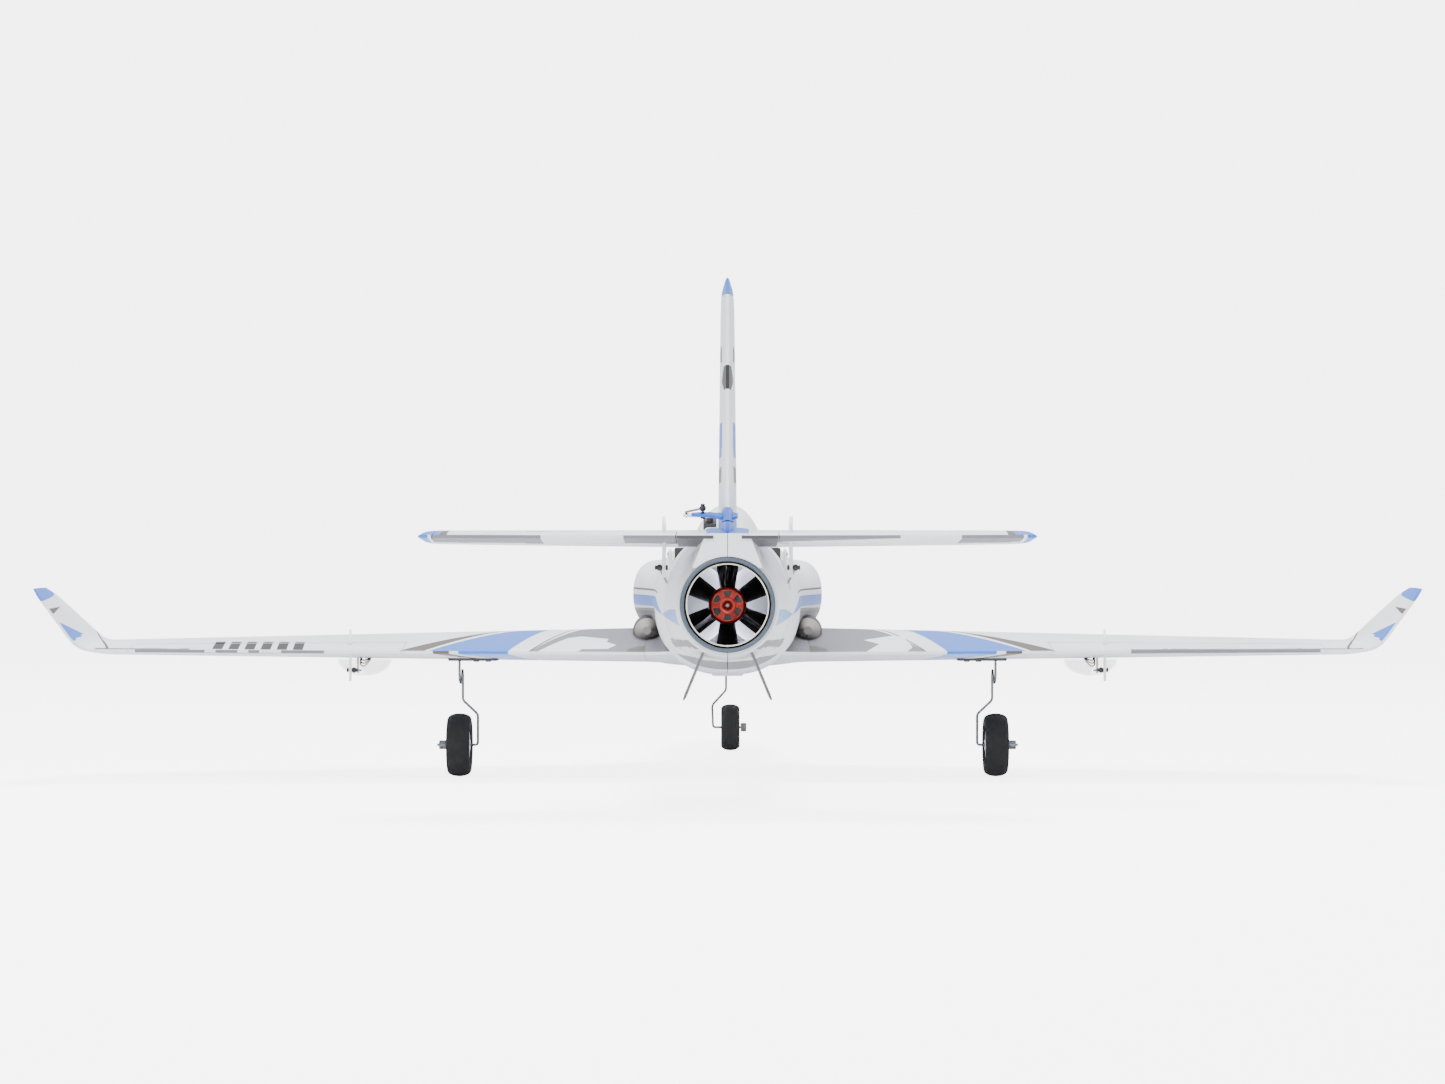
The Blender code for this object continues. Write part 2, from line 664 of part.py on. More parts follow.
# ==== pieces: fan and exhaust =====================================================================
def fan_parts():
    fan = (0, 0, FAN_Z)
    housing = turned("fan_housing", [(SHROUD_INNER_R, FAN_FRONT_Y), (SHROUD_OUTER_R, FAN_FRONT_Y),
                                     (SHROUD_OUTER_R, FAN_REAR_Y), (SHROUD_INNER_R, FAN_REAR_Y)],
                     1, fan, 32)
    hub = turned("hub", [(SHAFT_R + GAP, HUB_WALL_Y[1]), (HUB_R, HUB_WALL_Y[1]), (HUB_R, -212.0),
                         (HUB_BORE_R, -212.0), (HUB_BORE_R, HUB_WALL_Y[0]),
                         (SHAFT_R + GAP, HUB_WALL_Y[0])], 1, fan, 24)
    vanes = []
    for angle in VANES:
        out = Vector((math.cos(math.radians(angle)), 0, math.sin(math.radians(angle))))
        over = out.cross(Vector((0, 1, 0)))
        centre = Vector(fan)
        rings = []
        for radius in (HUB_R - 0.3, SHROUD_INNER_R + 0.6):
            rings.append([centre + out * radius + over * across + Vector((0, y, 0))
                          for across, y in ((-1.6, -188.0), (1.6, -186.0), (2.4, -210.0),
                                            (0.4, -210.5))])
        vanes.append(loft("vane", rings))
    join(housing, hub, *vanes)
    finish(housing, (0.3, 0.32, 0.35), 0.5)

    rotor = turned("fan_rotor", [(SHAFT_R + GAP, -178.5), (ROTOR_HUB_R, -178.5),
                                 (ROTOR_HUB_R, -160.0), (11.5, -149.0), (7.0, -140.0),
                                 (2.0, -136.0), (0.0, -136.0), (0.0, -150.0),
                                 (SHAFT_R + GAP, -150.0)], 1, fan, 20)
    blades = []
    for k in range(BLADES):
        angle = math.radians(90 + 60 * k)
        out = Vector((math.cos(angle), 0, math.sin(angle)))
        over = out.cross(Vector((0, 1, 0)))
        rings = []
        for radius, half, pitch in ((ROTOR_HUB_R - 0.6, 7.5, 46.0), (20.0, 8.2, 54.0),
                                    (27.0, 9.0, 60.0), (BLADE_TIP_R, 9.6, 65.0)):
            tilt = math.radians(pitch)
            along = over * math.sin(tilt) + Vector((0, 1, 0)) * math.cos(tilt)
            skin = over * math.cos(tilt) - Vector((0, 1, 0)) * math.sin(tilt)
            ring = []
            for share, lift in ((1.0, 0.0), (0.1, 1.0), (-1.0, 0.0), (0.1, -0.4)):
                offset = along * half * share + skin * lift
                across = offset.dot(over)
                ring.append(Vector(fan) + Vector((0, -168.5 + offset.y, 0)) + over * across
                            + out * math.sqrt(radius**2 - across**2))
            rings.append(ring)
        blades.append(loft("blade", rings))
    join(rotor, *blades)
    finish(rotor, BLACK, 0.4, origin=(0, -168.5, FAN_Z))

    motor = turned("motor", [(0.0, BELL_Y[0] - 2.0), (3.6, BELL_Y[0] - 2.0), (4.2, BELL_Y[0]),
                             (BELL_R - 1.2, BELL_Y[0]), (BELL_R, BELL_Y[0] + 1.2),
                             (BELL_R, BELL_Y[1]), (SHAFT_R, BELL_Y[1]), (SHAFT_R, -152.0),
                             (0.0, -152.0)], 1, fan, 24)
    for k in range(BLADES):
        angle = math.radians(30 + 60 * k)
        hole = Vector((8.4 * math.cos(angle), 0, FAN_Z + 8.4 * math.sin(angle)))
        cut_away(motor, rod_between("vent", hole + Vector((0, BELL_Y[0] - 4, 0)),
                                    hole + Vector((0, BELL_Y[0] + 7, 0)), 2.3, 6))
    finish(motor, (0.55, 0.05, 0.02), 0.3, 0.4, origin=(0, -168.5, FAN_Z))

    length = TUBE_FRONT_Y - TUBE_REAR_Y
    bm_rings = []
    for y, radius in ((TUBE_FRONT_Y, TUBE_FRONT_R), (TUBE_REAR_Y, TUBE_REAR_R)):
        centre = FAN_Z + (NOZZLE_Z - FAN_Z) * (TUBE_FRONT_Y - y) / length
        bm_rings.append((y, radius, centre))
    tube = loft("thrust_tube", [ring_points(y, radius, centre) for y, radius, centre in bm_rings])
    bore = loft("bore", [
        ring_points(y + push, radius - TUBE_WALL, centre)
        for (y, radius, centre), push in zip(bm_rings, (0.01, -0.01))
    ])
    cut_away(tube, bore)
    finish(tube, (0.8, 0.8, 0.78), 0.4)
    nozzle = turned("nozzle_ring", [(RING_INNER_R, RING_Y[0]), (RING_OUTER_R - 0.8, RING_Y[0]),
                                    (RING_OUTER_R, RING_Y[0] + 1.2), (RING_OUTER_R, RING_Y[1]),
                                    (RING_INNER_R, RING_Y[1])], 1, (0, 0, NOZZLE_Z), 32)
    finish(nozzle, (0.16, 0.19, 0.22), 0.45)


def ring_points(y, radius, centre_z, count=32):
    return [(radius * math.sin(math.tau * k / count), y,
             centre_z + radius * math.cos(math.tau * k / count)) for k in range(count)]


# ==== pieces: wing ================================================================================
def wing_servo_centre(side):
    """The aileron servo's output axis, where its arm turns."""
    hinge = panel_hinge(WING_STATIONS, AILERON_X, AILERON_CHORD, side)
    return hinge, horn_centre(hinge, side * AILERON_HORN_X) + rod_vector(AILERON_ROD, side)


def horn_centre(hinge, x):
    """The point of a hinge line at x."""
    share = (x - hinge.start.x) / (hinge.end.x - hinge.start.x)
    return hinge.at(share)


def rod_vector(rod, side):
    return Vector((side * rod[0], rod[1], rod[2]))


def servo_body(name, top, face, length, width, depth, grow=0.0):
    """A servo case: top is the output axis at the case's face, and face the way it points."""
    face = Vector(face).normalized()
    ahead = (Vector((0, 1, 0)) - face * face.y).normalized()
    across = face.cross(ahead)
    rings = []
    for out in (-depth - grow, grow if grow else 0.0):
        rings.append([top + face * out + ahead * a + across * b for a, b in (
            (length * 0.72 + grow, width / 2 + grow), (-length * 0.28 - grow, width / 2 + grow),
            (-length * 0.28 - grow, -width / 2 - grow), (length * 0.72 + grow, -width / 2 - grow))])
    return loft(name, rings)


def wing(side):
    word = "right" if side > 0 else "left"
    hinge, servo_axis = wing_servo_centre(side)
    panel = loft("wing_" + word, [foil_ring(row, side) for row in WING_STATIONS])
    inner, outer = AILERON_X
    front = []
    for x in (inner - 0.5, outer + 0.5):
        y = horn_centre(hinge, side * x).y
        half = (skin_z(WING_STATIONS, x, y, True) - skin_z(WING_STATIONS, x, y, False)) / 2
        front.append((x, y + half + 0.5))
    (x0, y0), (x1, y1) = front
    opening = loft("aileron_bay", [[(side * x, y, z) for x, y in (
        (x0, y0), (x1, y1), (x1, -230.0), (x0, -230.0))] for z in (70.0, 130.0)])
    cut_away(panel, opening)
    horn_x = AILERON_HORN_X
    horn_y = horn_centre(hinge, side * horn_x).y
    cut_away(panel, box("horn_notch", *sorted_box((side * (horn_x - 3), horn_y, 80),
                                                  (side * (horn_x + 3), horn_y + 13, 97))))
    cut_away(panel, rod_between("spar_hole", (side * 40, TUBE_SPAR_Y, TUBE_SPAR_Z),
                                (side * (TUBE_SPAR_HALF + 1), TUBE_SPAR_Y, TUBE_SPAR_Z),
                                TUBE_SPAR_R + GAP, 16))
    pocket = wing_servo_box(servo_axis, side, GAP)
    cut_away(panel, box("servo_bay", *pocket), box("gear_bay", *gear_mount_box(side, GAP)))
    finish(panel, FOAM, 0.55)

    stations = [inner] + [inner + (outer - inner) * k / 3 for k in (1, 2)] + [outer]
    aileron = loft("aileron_" + word, [
        surface_ring(WING_STATIONS, x, horn_centre(hinge, side * x).y, side) for x in stations])
    horn_slot(aileron, hinge, side * horn_x, 12.0)
    finish(aileron, FOAM, 0.55, origin=hinge.start)


def sorted_box(a, b):
    low = [min(p, q) for p, q in zip(a, b)]
    high = [max(p, q) for p, q in zip(a, b)]
    return low, high


SERVO_LENGTH, SERVO_WIDTH, SERVO_DEPTH = 23.0, 12.0, 22.0


def wing_servo_box(axis, side, grow):
    """The aileron servo's case: it lies on its side, with its arm outboard of it."""
    face = axis.x - side * 3.0
    low = (face - side * (SERVO_DEPTH + grow), axis.y - SERVO_LENGTH * 0.28 - grow,
           axis.z - SERVO_WIDTH / 2 - 12 if grow else axis.z - SERVO_WIDTH / 2)
    reach = 8.0 if grow else 0.0
    high = (face + side * reach, axis.y + SERVO_LENGTH * 0.72 + grow,
            axis.z + SERVO_WIDTH / 2 + grow)
    return sorted_box(low, high)


def gear_mount_box(side, grow):
    """The plastic block that holds a main leg in the wing's underside."""
    low_z = skin_z(WING_STATIONS, MAIN_X - 12, MAIN_Y, False)
    low = (side * (MAIN_X - 30 - grow), MAIN_Y - 12 - grow, low_z - 1.5 - (10 if grow else 0))
    high = (side * (MAIN_X + 8 + grow), MAIN_Y + 12 + grow, low_z + 8.5 + grow)
    return sorted_box(low, high)


def horn_slot(item, hinge, x, length):
    """Cut the slot that a control horn passes through."""
    centre = horn_centre(hinge, x)
    half = HORN_THICKNESS / 2 + GAP
    place = hinge.place_from(centre)
    outline = [(1.5 + GAP, -20), (1.5 + GAP, 20), (-length - GAP, 20), (-length - GAP, -20)]
    cut_away(item, plate("horn_slot", outline, place, 2 * half))


# ==== pieces: tail ================================================================================
def stabiliser(side):
    word = "right" if side > 0 else "left"
    hinge = panel_hinge(STAB_STATIONS, ELEVATOR_X, ELEVATOR_CHORD, side)
    panel = loft("stab_" + word, [foil_ring(row, side) for row in STAB_STATIONS])
    front = []
    for x in (ELEVATOR_X[0] - 0.6, ELEVATOR_X[1] + 0.5):
        y = horn_centre(hinge, side * x).y
        half = (skin_z(STAB_STATIONS, x, y, True) - skin_z(STAB_STATIONS, x, y, False)) / 2
        front.append((x, y + half + 0.5))
    (x0, y0), (x1, y1) = front
    cut_away(panel, loft("elevator_bay", [[(side * x, y, z) for x, y in (
        (x0, y0), (x1, y1), (x1, -600.0), (x0, -600.0))] for z in (160.0, 200.0)]))
    horn_y = horn_centre(hinge, side * ELEVATOR_HORN_X).y
    cut_away(panel, box("horn_notch", *sorted_box(
        (side * (ELEVATOR_HORN_X - 3), horn_y, 160), (side * (ELEVATOR_HORN_X + 3), horn_y + 11, 177))))
    finish(panel, FOAM, 0.55)

    inner, outer = ELEVATOR_X
    elevator = loft("elevator_" + word, [
        surface_ring(STAB_STATIONS, x, horn_centre(hinge, side * x).y, side)
        for x in (inner, (inner + outer) / 2, 150.0, outer)])
    horn_slot(elevator, hinge, side * ELEVATOR_HORN_X, 10.0)
    finish(elevator, FOAM, 0.55, origin=hinge.start)


def fin_and_rudder():
    hinge = rudder_hinge()
    fin = loft("fin", [fin_ring(*row) for row in FIN_STATIONS])
    opening = []
    for z, extra in ((RUDDER_Z[0] - 0.8, 0.0), (RUDDER_Z[1] + 0.6, 0.0)):
        share = (z - hinge.start.z) / (hinge.end.z - hinge.start.z)
        y = hinge.at(share).y
        half = fin_half_thickness(z, y) * 1.04
        opening.append([(x, yy, z) for x, yy in ((-20, y + half + 0.6), (20, y + half + 0.6),
                                                 (20, -600.0), (-20, -600.0))])
    cut_away(fin, loft("rudder_bay", opening))
    cut_away(fin, box("tab_end", (-20, -600, 170), (20, FIN_TAB_REAR_Y, RUDDER_Z[0] - 0.4)))
    finish(fin, FOAM, 0.55)

    lean = math.hypot(hinge.axis.y, hinge.axis.z) / hinge.axis.z
    rings = []
    for share in (0.0, 0.33, 0.66, 1.0):
        point = hinge.at(share)
        radius = fin_half_thickness(point.z, point.y)
        trail = mixed(FIN_STATIONS, point.z)[2]
        ring = [Vector((radius * math.sin(math.radians(a)),
                        point.y + radius * lean * math.cos(math.radians(a)), point.z))
                for a in range(-90, 91, 30)]
        for part in (0.35, 0.7, 1.0):
            y = point.y + (trail - point.y) * part
            ring.append(Vector((fin_half_thickness(point.z, y), y, point.z)))
        for part in (1.0, 0.7, 0.35):
            y = point.y + (trail - point.y) * part
            ring.append(Vector((-fin_half_thickness(point.z, y), y, point.z)))
        rings.append(ring)
    rudder = loft("rudder", rings)
    centre = rudder_horn_centre(hinge)
    outline = [(2.5, -14), (2.5, 14), (-11, 14), (-11, -14)]
    cut_away(rudder, plate("horn_slot", outline, hinge.place_from(centre),
                           HORN_THICKNESS + 2 * GAP))
    finish(rudder, FOAM, 0.55, origin=hinge.start)


def rudder_horn_centre(hinge):
    return hinge.start + hinge.axis * RUDDER_HORN_RISE


def ventral_fin(name, side, grow=0.0):
    """A thin fin canted outwards under the tail."""
    (x0, z0), (x1, z1) = VENTRAL_ROOT, VENTRAL_TIP
    down = Vector((side * (x1 - x0), 0, z1 - z0)).normalized()
    over = Vector((0, 1, 0)).cross(down)
    root = Vector((side * x0, 0, z0)) - down * grow
    tip = Vector((side * x1, 0, z1)) + down * grow
    half = VENTRAL_THICKNESS / 2 + grow
    front, rear = VENTRAL_Y
    outline = [root + Vector((0, front + 3 * grow, 0)), root + Vector((0, rear - 3 * grow, 0)),
               tip + Vector((0, rear - 6 - 3 * grow, 0)), tip + Vector((0, front - 42 + 3 * grow, 0))]
    return loft(name, [[p + over * half for p in outline], [p - over * half for p in outline]])


# ==== pieces: linkages ============================================================================
def linkage(name, hinge, centre, rod, reach, horn_outline, arm_outline, arm_offset, colour):
    """Horn and servo arm of one control surface, as an exact parallelogram with the rod.

    Both holes lie at reach across the hinge line from their own axes, so the rod moves without
    turning. The results are the two holes, the servo arm's one in the arm's own plane.
    """
    place = hinge.place_from(centre)
    hole = place(0, 0, reach)
    bore = hinge.axis * BORE_REACH
    horn = plate(name + "_horn", horn_outline, place, HORN_THICKNESS)
    cut_away(horn, rod_between("hole", hole - bore, hole + bore, HOLE_R, 12))
    finish(horn, colour, 0.45, origin=centre)

    pivot = centre + rod
    offset = hinge.axis * arm_offset
    arm_hole = hole + rod
    arm = plate(name + "_servo_arm", arm_outline, hinge.place_from(pivot + offset), HORN_THICKNESS)
    outward = hinge.axis * math.copysign(1.0, arm_offset)
    boss = rod_between("boss", pivot + outward * GAP, pivot + offset + outward * BOSS_LIP, BOSS_R, 12)
    join(arm, boss)
    cut_away(arm, rod_between("hole", arm_hole - bore, arm_hole + bore, HOLE_R, 10))
    finish(arm, ARM_WHITE, 0.5, origin=pivot)
    return hole, arm_hole + offset


def pushrod(name, hinge, near, far, side, lift=LINK_R):
    """A wire with a ball link beside the horn and a pin through the servo arm."""
    out = hinge.axis * side
    clear = HORN_THICKNESS / 2 + GAP
    link = near + out * (clear + lift)
    end = far + out * (clear + ROD_OFFSET)
    rod = rod_between(name + "_pushrod", link, end, ROD_R, 8)
    ahead = (end - link).normalized()
    block = rod_between("link", link - ahead * LINK_BEHIND, link + ahead * LINK_AHEAD, LINK_R, 8)
    pin = rod_between("pin", link + out * 0.8, near - out * (clear + 1.0), PIN_R, 8)
    elbow = rod_between("elbow", end + out * 0.7, far - out * (clear + 0.8), PIN_R, 8)
    join(rod, block, pin, elbow)
    finish(rod, BLACK, 0.45, 0.3, origin=near)


def arm_outline(reach):
    """A servo arm: round at its hub and slimmer at its hole."""
    points = []
    for a in range(0, 181, 30):
        points.append((4.0 * math.cos(math.radians(a)), 4.0 * math.sin(math.radians(a))))
    return points + [(-2.3, -reach), (-1.4, -reach - 2.2), (1.4, -reach - 2.2), (2.3, -reach)]


def aileron_linkage(side):
    word = "right" if side > 0 else "left"
    hinge, pivot = wing_servo_centre(side)
    centre = horn_centre(hinge, side * AILERON_HORN_X)
    near, far = linkage("aileron_" + word, hinge, centre, rod_vector(AILERON_ROD, side),
                        -AILERON_ARM, AILERON_HORN, arm_outline(AILERON_ARM), side * ARM_OFFSET,
                        HORN_WHITE)
    pushrod("aileron_" + word, hinge, near, far, -side)
    servo = box("aileron_servo_" + word, *wing_servo_box(pivot, side, 0.0), bevel=0.8)
    spline = rod_between("spline", pivot - hinge.axis * side * 4.5, pivot - hinge.axis * side * 0.6,
                         2.4, 12)
    join(servo, spline)
    finish(servo, SERVO_BLACK, 0.4)
    servo_dome(side, pivot)


def servo_dome(side, pivot):
    """A clear blister under the wing, over the servo arm, open behind for the rod."""
    word = "right" if side > 0 else "left"
    centre = Vector((pivot.x - side * 4.0, pivot.y - 2.0, 0))
    base_z = skin_z(WING_STATIONS, AILERON_HORN_X, pivot.y, False) - 1.2
    depth = base_z - (pivot.z - AILERON_ARM - 4.2)

    def blister(name, shrink, lift):
        rings = []
        for k in range(5):
            angle = k / 4 * math.pi / 2
            scale = math.cos(angle) if k < 4 else 0.2
            rings.append([(centre.x + (20.5 - shrink) * scale * math.cos(math.tau * j / 20),
                           centre.y + (30.0 - shrink) * scale * math.sin(math.tau * j / 20),
                           base_z + lift - (depth - shrink + lift) * math.sin(angle))
                          for j in range(20)])
        return loft(name, rings)

    dome = blister("servo_dome_" + word, 0.0, 0.0)
    cut_away(dome, blister("inside", 1.0, 0.6),
             box("rod_slot", (pivot.x - 5.5, centre.y - 40, base_z - depth - 5),
                 (pivot.x + 5.5, centre.y - 12, base_z + 2)))
    finish(dome, (0.85, 0.88, 0.9), 0.08, alpha=0.3)


def elevator_pivot(side):
    hinge = panel_hinge(STAB_STATIONS, ELEVATOR_X, ELEVATOR_CHORD, side)
    centre = horn_centre(hinge, side * ELEVATOR_HORN_X)
    return hinge, centre, centre + rod_vector(ELEVATOR_ROD, side)


TAIL_SERVO_LENGTH, TAIL_SERVO_WIDTH, TAIL_SERVO_DEPTH = 20.0, 9.0, 15.5


def elevator_servo_seat(side):
    """The pocket in the tail's side for the elevator servo, its arm and its rod."""
    _, _, pivot = elevator_pivot(side)
    face = servo_face(side)
    case = servo_body("seat", Vector((face, pivot.y, pivot.z)), (side, 0, 0), TAIL_SERVO_LENGTH,
                      TAIL_SERVO_WIDTH, TAIL_SERVO_DEPTH, GAP)
    recess = box("recess", *sorted_box(
        (face, pivot.y - 34, pivot.z - ELEVATOR_ARM - 5), (side * 70, pivot.y + 15, pivot.z + 7)))
    join(case, recess)
    return case


def servo_face(side):
    _, _, pivot = elevator_pivot(side)
    return pivot.x - side * 1.6


def elevator_linkage(side):
    word = "right" if side > 0 else "left"
    hinge, centre, pivot = elevator_pivot(side)
    near, far = linkage("elevator_" + word, hinge, centre, rod_vector(ELEVATOR_ROD, side),
                        -ELEVATOR_ARM, ELEVATOR_HORN, arm_outline(ELEVATOR_ARM), side * ARM_OFFSET,
                        HORN_WHITE)
    pushrod("elevator_" + word, hinge, near, far, side)
    face = servo_face(side)
    servo = servo_body("elevator_servo_" + word, Vector((face, pivot.y, pivot.z)), (side, 0, 0),
                       TAIL_SERVO_LENGTH, TAIL_SERVO_WIDTH, TAIL_SERVO_DEPTH)
    finish(servo, SERVO_BLACK, 0.4)


def rudder_pivot():
    hinge = rudder_hinge()
    centre = rudder_horn_centre(hinge)
    return hinge, centre, centre + Vector(RUDDER_ROD)


def rudder_servo_top(hinge, pivot):
    return pivot - hinge.axis * 3.2


def rudder_servo_seat():
    hinge, _, pivot = rudder_pivot()
    case = servo_body("seat", rudder_servo_top(hinge, pivot), hinge.axis, TAIL_SERVO_LENGTH,
                      TAIL_SERVO_WIDTH, TAIL_SERVO_DEPTH, GAP)
    low = rudder_servo_top(hinge, pivot)
    recess = box("recess", (-40, low.y - 12, low.z - 0.8), (-7.5, low.y + 16, 230))
    join(case, recess)
    return case


def rudder_linkage():
    hinge, centre, pivot = rudder_pivot()
    port = -1 if hinge.above.x > 0 else 1
    near, far = linkage("rudder", hinge, centre, Vector(RUDDER_ROD), port * RUDDER_ARM,
                        [(a, port * b) for a, b in RUDDER_HORN],
                        [(-a, -port * b) for a, b in arm_outline(RUDDER_ARM)], ARM_OFFSET,
                        HORN_BLUE)
    pushrod("rudder", hinge, near, far, 1, LINK_R + 1.3)
    servo = servo_body("rudder_servo", rudder_servo_top(hinge, pivot), hinge.axis,
                       TAIL_SERVO_LENGTH, TAIL_SERVO_WIDTH, TAIL_SERVO_DEPTH)
    spline = rod_between("spline", pivot - hinge.axis * 4.0, pivot - hinge.axis * 0.6, 2.4, 12)
    join(servo, spline)
    finish(servo, SERVO_BLACK, 0.4)


# ==== pieces: landing gear ========================================================================
def leg_path(x, y, top, axle_z, kink, axle_end, direction):
    """A sprung leg: down, once round a coil, down, in past the wheel and out along the axle."""
    coil_top, coil_bottom, kink_high, kink_low, inboard = kink
    points = [(x, y, top), (x, y, coil_top + 2)]
    middle = (coil_top + coil_bottom) / 2
    for k in range(1, 16):
        angle = math.tau * k / 14
        points.append((x - direction * 2.6 * k / 14, y + COIL_R - COIL_R * math.cos(angle),
                       middle + COIL_R * math.sin(-angle)))
    low_x = x - direction * 2.6
    points += [(low_x, y, coil_bottom - 1), (low_x, y, kink_high), (inboard, y, kink_low),
               (inboard, y, axle_z + 1.6), (inboard + direction * 1.6, y, axle_z),
               (axle_end, y, axle_z)]
    return points


def main_leg(side):
    word = "right" if side > 0 else "left"
    top = gear_mount_box(side, 0.0)[1][2]
    path = leg_path(side * MAIN_X, MAIN_Y, top - 0.4, MAIN_WHEEL_R,
                    (82.3, 70.8, 58.5, 47.7, side * 191.8), side * 223.2, side)
    leg = wire("main_strut_" + word, path, WIRE_R)
    collar = turned("collar", [(0, 0), (3.45, 0), (3.45, side * 5.4), (0, side * 5.4)], 0,
                    (side * (MAIN_X + MAIN_WHEEL_WIDTH / 2 + 1.2), MAIN_Y, MAIN_WHEEL_R), 12)
    join(leg, collar)
    finish(leg, STEEL, 0.3, 1.0)
    mount = box("main_gear_mount_" + word, *gear_mount_box(side, 0.0), bevel=0.6)
    cut_away(mount, rod_between("leg_hole", (side * MAIN_X, MAIN_Y, 60),
                                (side * MAIN_X, MAIN_Y, top + 5), WIRE_R + GAP, 10))
    finish(mount, (0.1, 0.1, 0.11), 0.5)
    wheel("main", "_" + word, (side * MAIN_X, MAIN_Y, MAIN_WHEEL_R), MAIN_WHEEL_R,
          MAIN_WHEEL_WIDTH)


def wheel(kind, tail, centre, radius, width):
    """A foam tyre on a white hub that turns freely on the axle."""
    half = width / 2
    rim = radius * 0.56
    profile = [(rim, -half * 0.8)]
    shoulder = half * 0.55
    for k in range(7):
        angle = math.radians(-90 + 30 * k)
        profile.append((radius - shoulder + shoulder * abs(math.cos(angle)) ** 0.8,
                        half * math.sin(angle)))
    profile.append((rim, half * 0.8))
    tyre = turned(kind + "_tyre" + tail, profile, 0, centre, WHEEL_SEGMENTS)
    finish(tyre, BLACK, 0.9, origin=centre, smooth=50)
    seat = rim - GAP
    bore = WIRE_R + HUB_BORE_CLEARANCE
    reach = half * 0.92
    disc = turned(kind + "_hub" + tail, [
        (bore, -reach), (4.2, -reach), (4.2, -half * 0.3), (seat - 1.6, -half * 0.3),
        (seat - 1.6, -half * 0.8), (seat, -half * 0.8), (seat, half * 0.8),
        (seat - 1.6, half * 0.8), (seat - 1.6, half * 0.3), (4.2, half * 0.3), (4.2, reach),
        (bore, reach)], 0, centre, WHEEL_SEGMENTS)
    finish(disc, HUB_WHITE, 0.4, origin=centre)


def nose_leg():
    """The steered leg: its arm lies inside the fuselage, above the mount block."""
    y = NOSE_GEAR_Y
    points = [(NOSE_LEG_X, y, 96.0), (NOSE_LEG_X, y, 53.4), (-13.8, y, 40.1),
              (-12.9, y, NOSE_WHEEL_R + 1.6), (-11.3, y, NOSE_WHEEL_R), (15.4, y, NOSE_WHEEL_R)]
    leg = wire("nose_strut", points, WIRE_R)
    collar = turned("collar", [(0, 0), (3.9, 0), (3.9, 5.2), (0, 5.2)], 0,
                    (NOSE_WHEEL_X + NOSE_WHEEL_WIDTH / 2 + 0.9, y, NOSE_WHEEL_R), 12)
    arm = box("arm", (NOSE_LEG_X - 15, y - 3.2, 92.2), (NOSE_LEG_X + 4.2, y + 3.2, 95.4))
    join(leg, collar, arm)
    finish(leg, STEEL, 0.3, 1.0, origin=(NOSE_LEG_X, y, NOSE_WHEEL_R))
    mount = box("nose_gear_mount", (-14, y - 14, 66.2), (14, y + 14, 91.5), bevel=1.0)
    cut_away(mount, rod_between("leg_hole", (NOSE_LEG_X, y, 50), (NOSE_LEG_X, y, 99),
                                WIRE_R + GAP, 10))
    finish(mount, HORN_WHITE, 0.5)
    wheel("nose", "", (NOSE_WHEEL_X, y, NOSE_WHEEL_R), NOSE_WHEEL_R, NOSE_WHEEL_WIDTH)


# ==== pieces: inside ==============================================================================
def inside():
    tube = rod_between("wing_tube", (-TUBE_SPAR_HALF, TUBE_SPAR_Y, TUBE_SPAR_Z),
                       (TUBE_SPAR_HALF, TUBE_SPAR_Y, TUBE_SPAR_Z), TUBE_SPAR_R, 16)
    finish(tube, (0.02, 0.02, 0.02), 0.35)
    finish(box("battery", (-18, 172, 88.5), (18, 298, 116.5), 2.0), (0.1, 0.12, 0.3), 0.35)
    finish(box("esc", (-16, 378, 94.0), (16, 432, 106.0), 1.0), (0.03, 0.03, 0.03), 0.4)
    finish(box("receiver", (-24, 306, 98.0), (-1, 332, 112.0), 0.8), (0.5, 0.08, 0.02), 0.45)


def main():
    for item in list(bpy.data.objects):
        bpy.data.objects.remove(item, do_unlink=True)
    fuselage()
    fan_parts()
    fin_and_rudder()
    rudder_linkage()
    nose_leg()
    inside()
    for side, word in ((1, "right"), (-1, "left")):
        wing(side)
        aileron_linkage(side)
        stabiliser(side)
        elevator_linkage(side)
        main_leg(side)
        finish(ventral_fin("ventral_fin_" + word, side), (0.3, 0.31, 0.33), 0.5)


main()
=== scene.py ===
"""Foam ducted-fan sport jet, seen from behind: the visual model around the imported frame.

Shapes are given in millimetres in the row frame: +X starboard, +Y forward, +Z up, ground at Z = 0.
"side" is 1 for starboard and -1 for port, and each mirrored piece comes from one function.
"""
import math
import random

import bmesh
import bpy
import numpy as np
from mathutils import Matrix, Vector


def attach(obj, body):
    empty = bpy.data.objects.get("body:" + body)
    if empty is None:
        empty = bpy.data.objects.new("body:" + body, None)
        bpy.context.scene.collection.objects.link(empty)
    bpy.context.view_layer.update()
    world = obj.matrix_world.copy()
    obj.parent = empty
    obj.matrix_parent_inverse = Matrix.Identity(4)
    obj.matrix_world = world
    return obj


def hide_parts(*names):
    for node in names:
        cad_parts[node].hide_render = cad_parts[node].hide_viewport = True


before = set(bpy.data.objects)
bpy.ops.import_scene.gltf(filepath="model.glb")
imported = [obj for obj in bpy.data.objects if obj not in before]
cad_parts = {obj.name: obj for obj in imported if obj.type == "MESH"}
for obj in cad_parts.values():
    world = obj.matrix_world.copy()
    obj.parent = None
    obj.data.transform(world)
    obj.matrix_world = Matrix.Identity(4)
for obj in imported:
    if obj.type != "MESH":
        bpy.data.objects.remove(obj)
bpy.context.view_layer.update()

MM = 0.001
GAP = 0.3
SMALL_SERVO = (20.0, 9.0, 15.5)     # the tail servos: length, width, depth

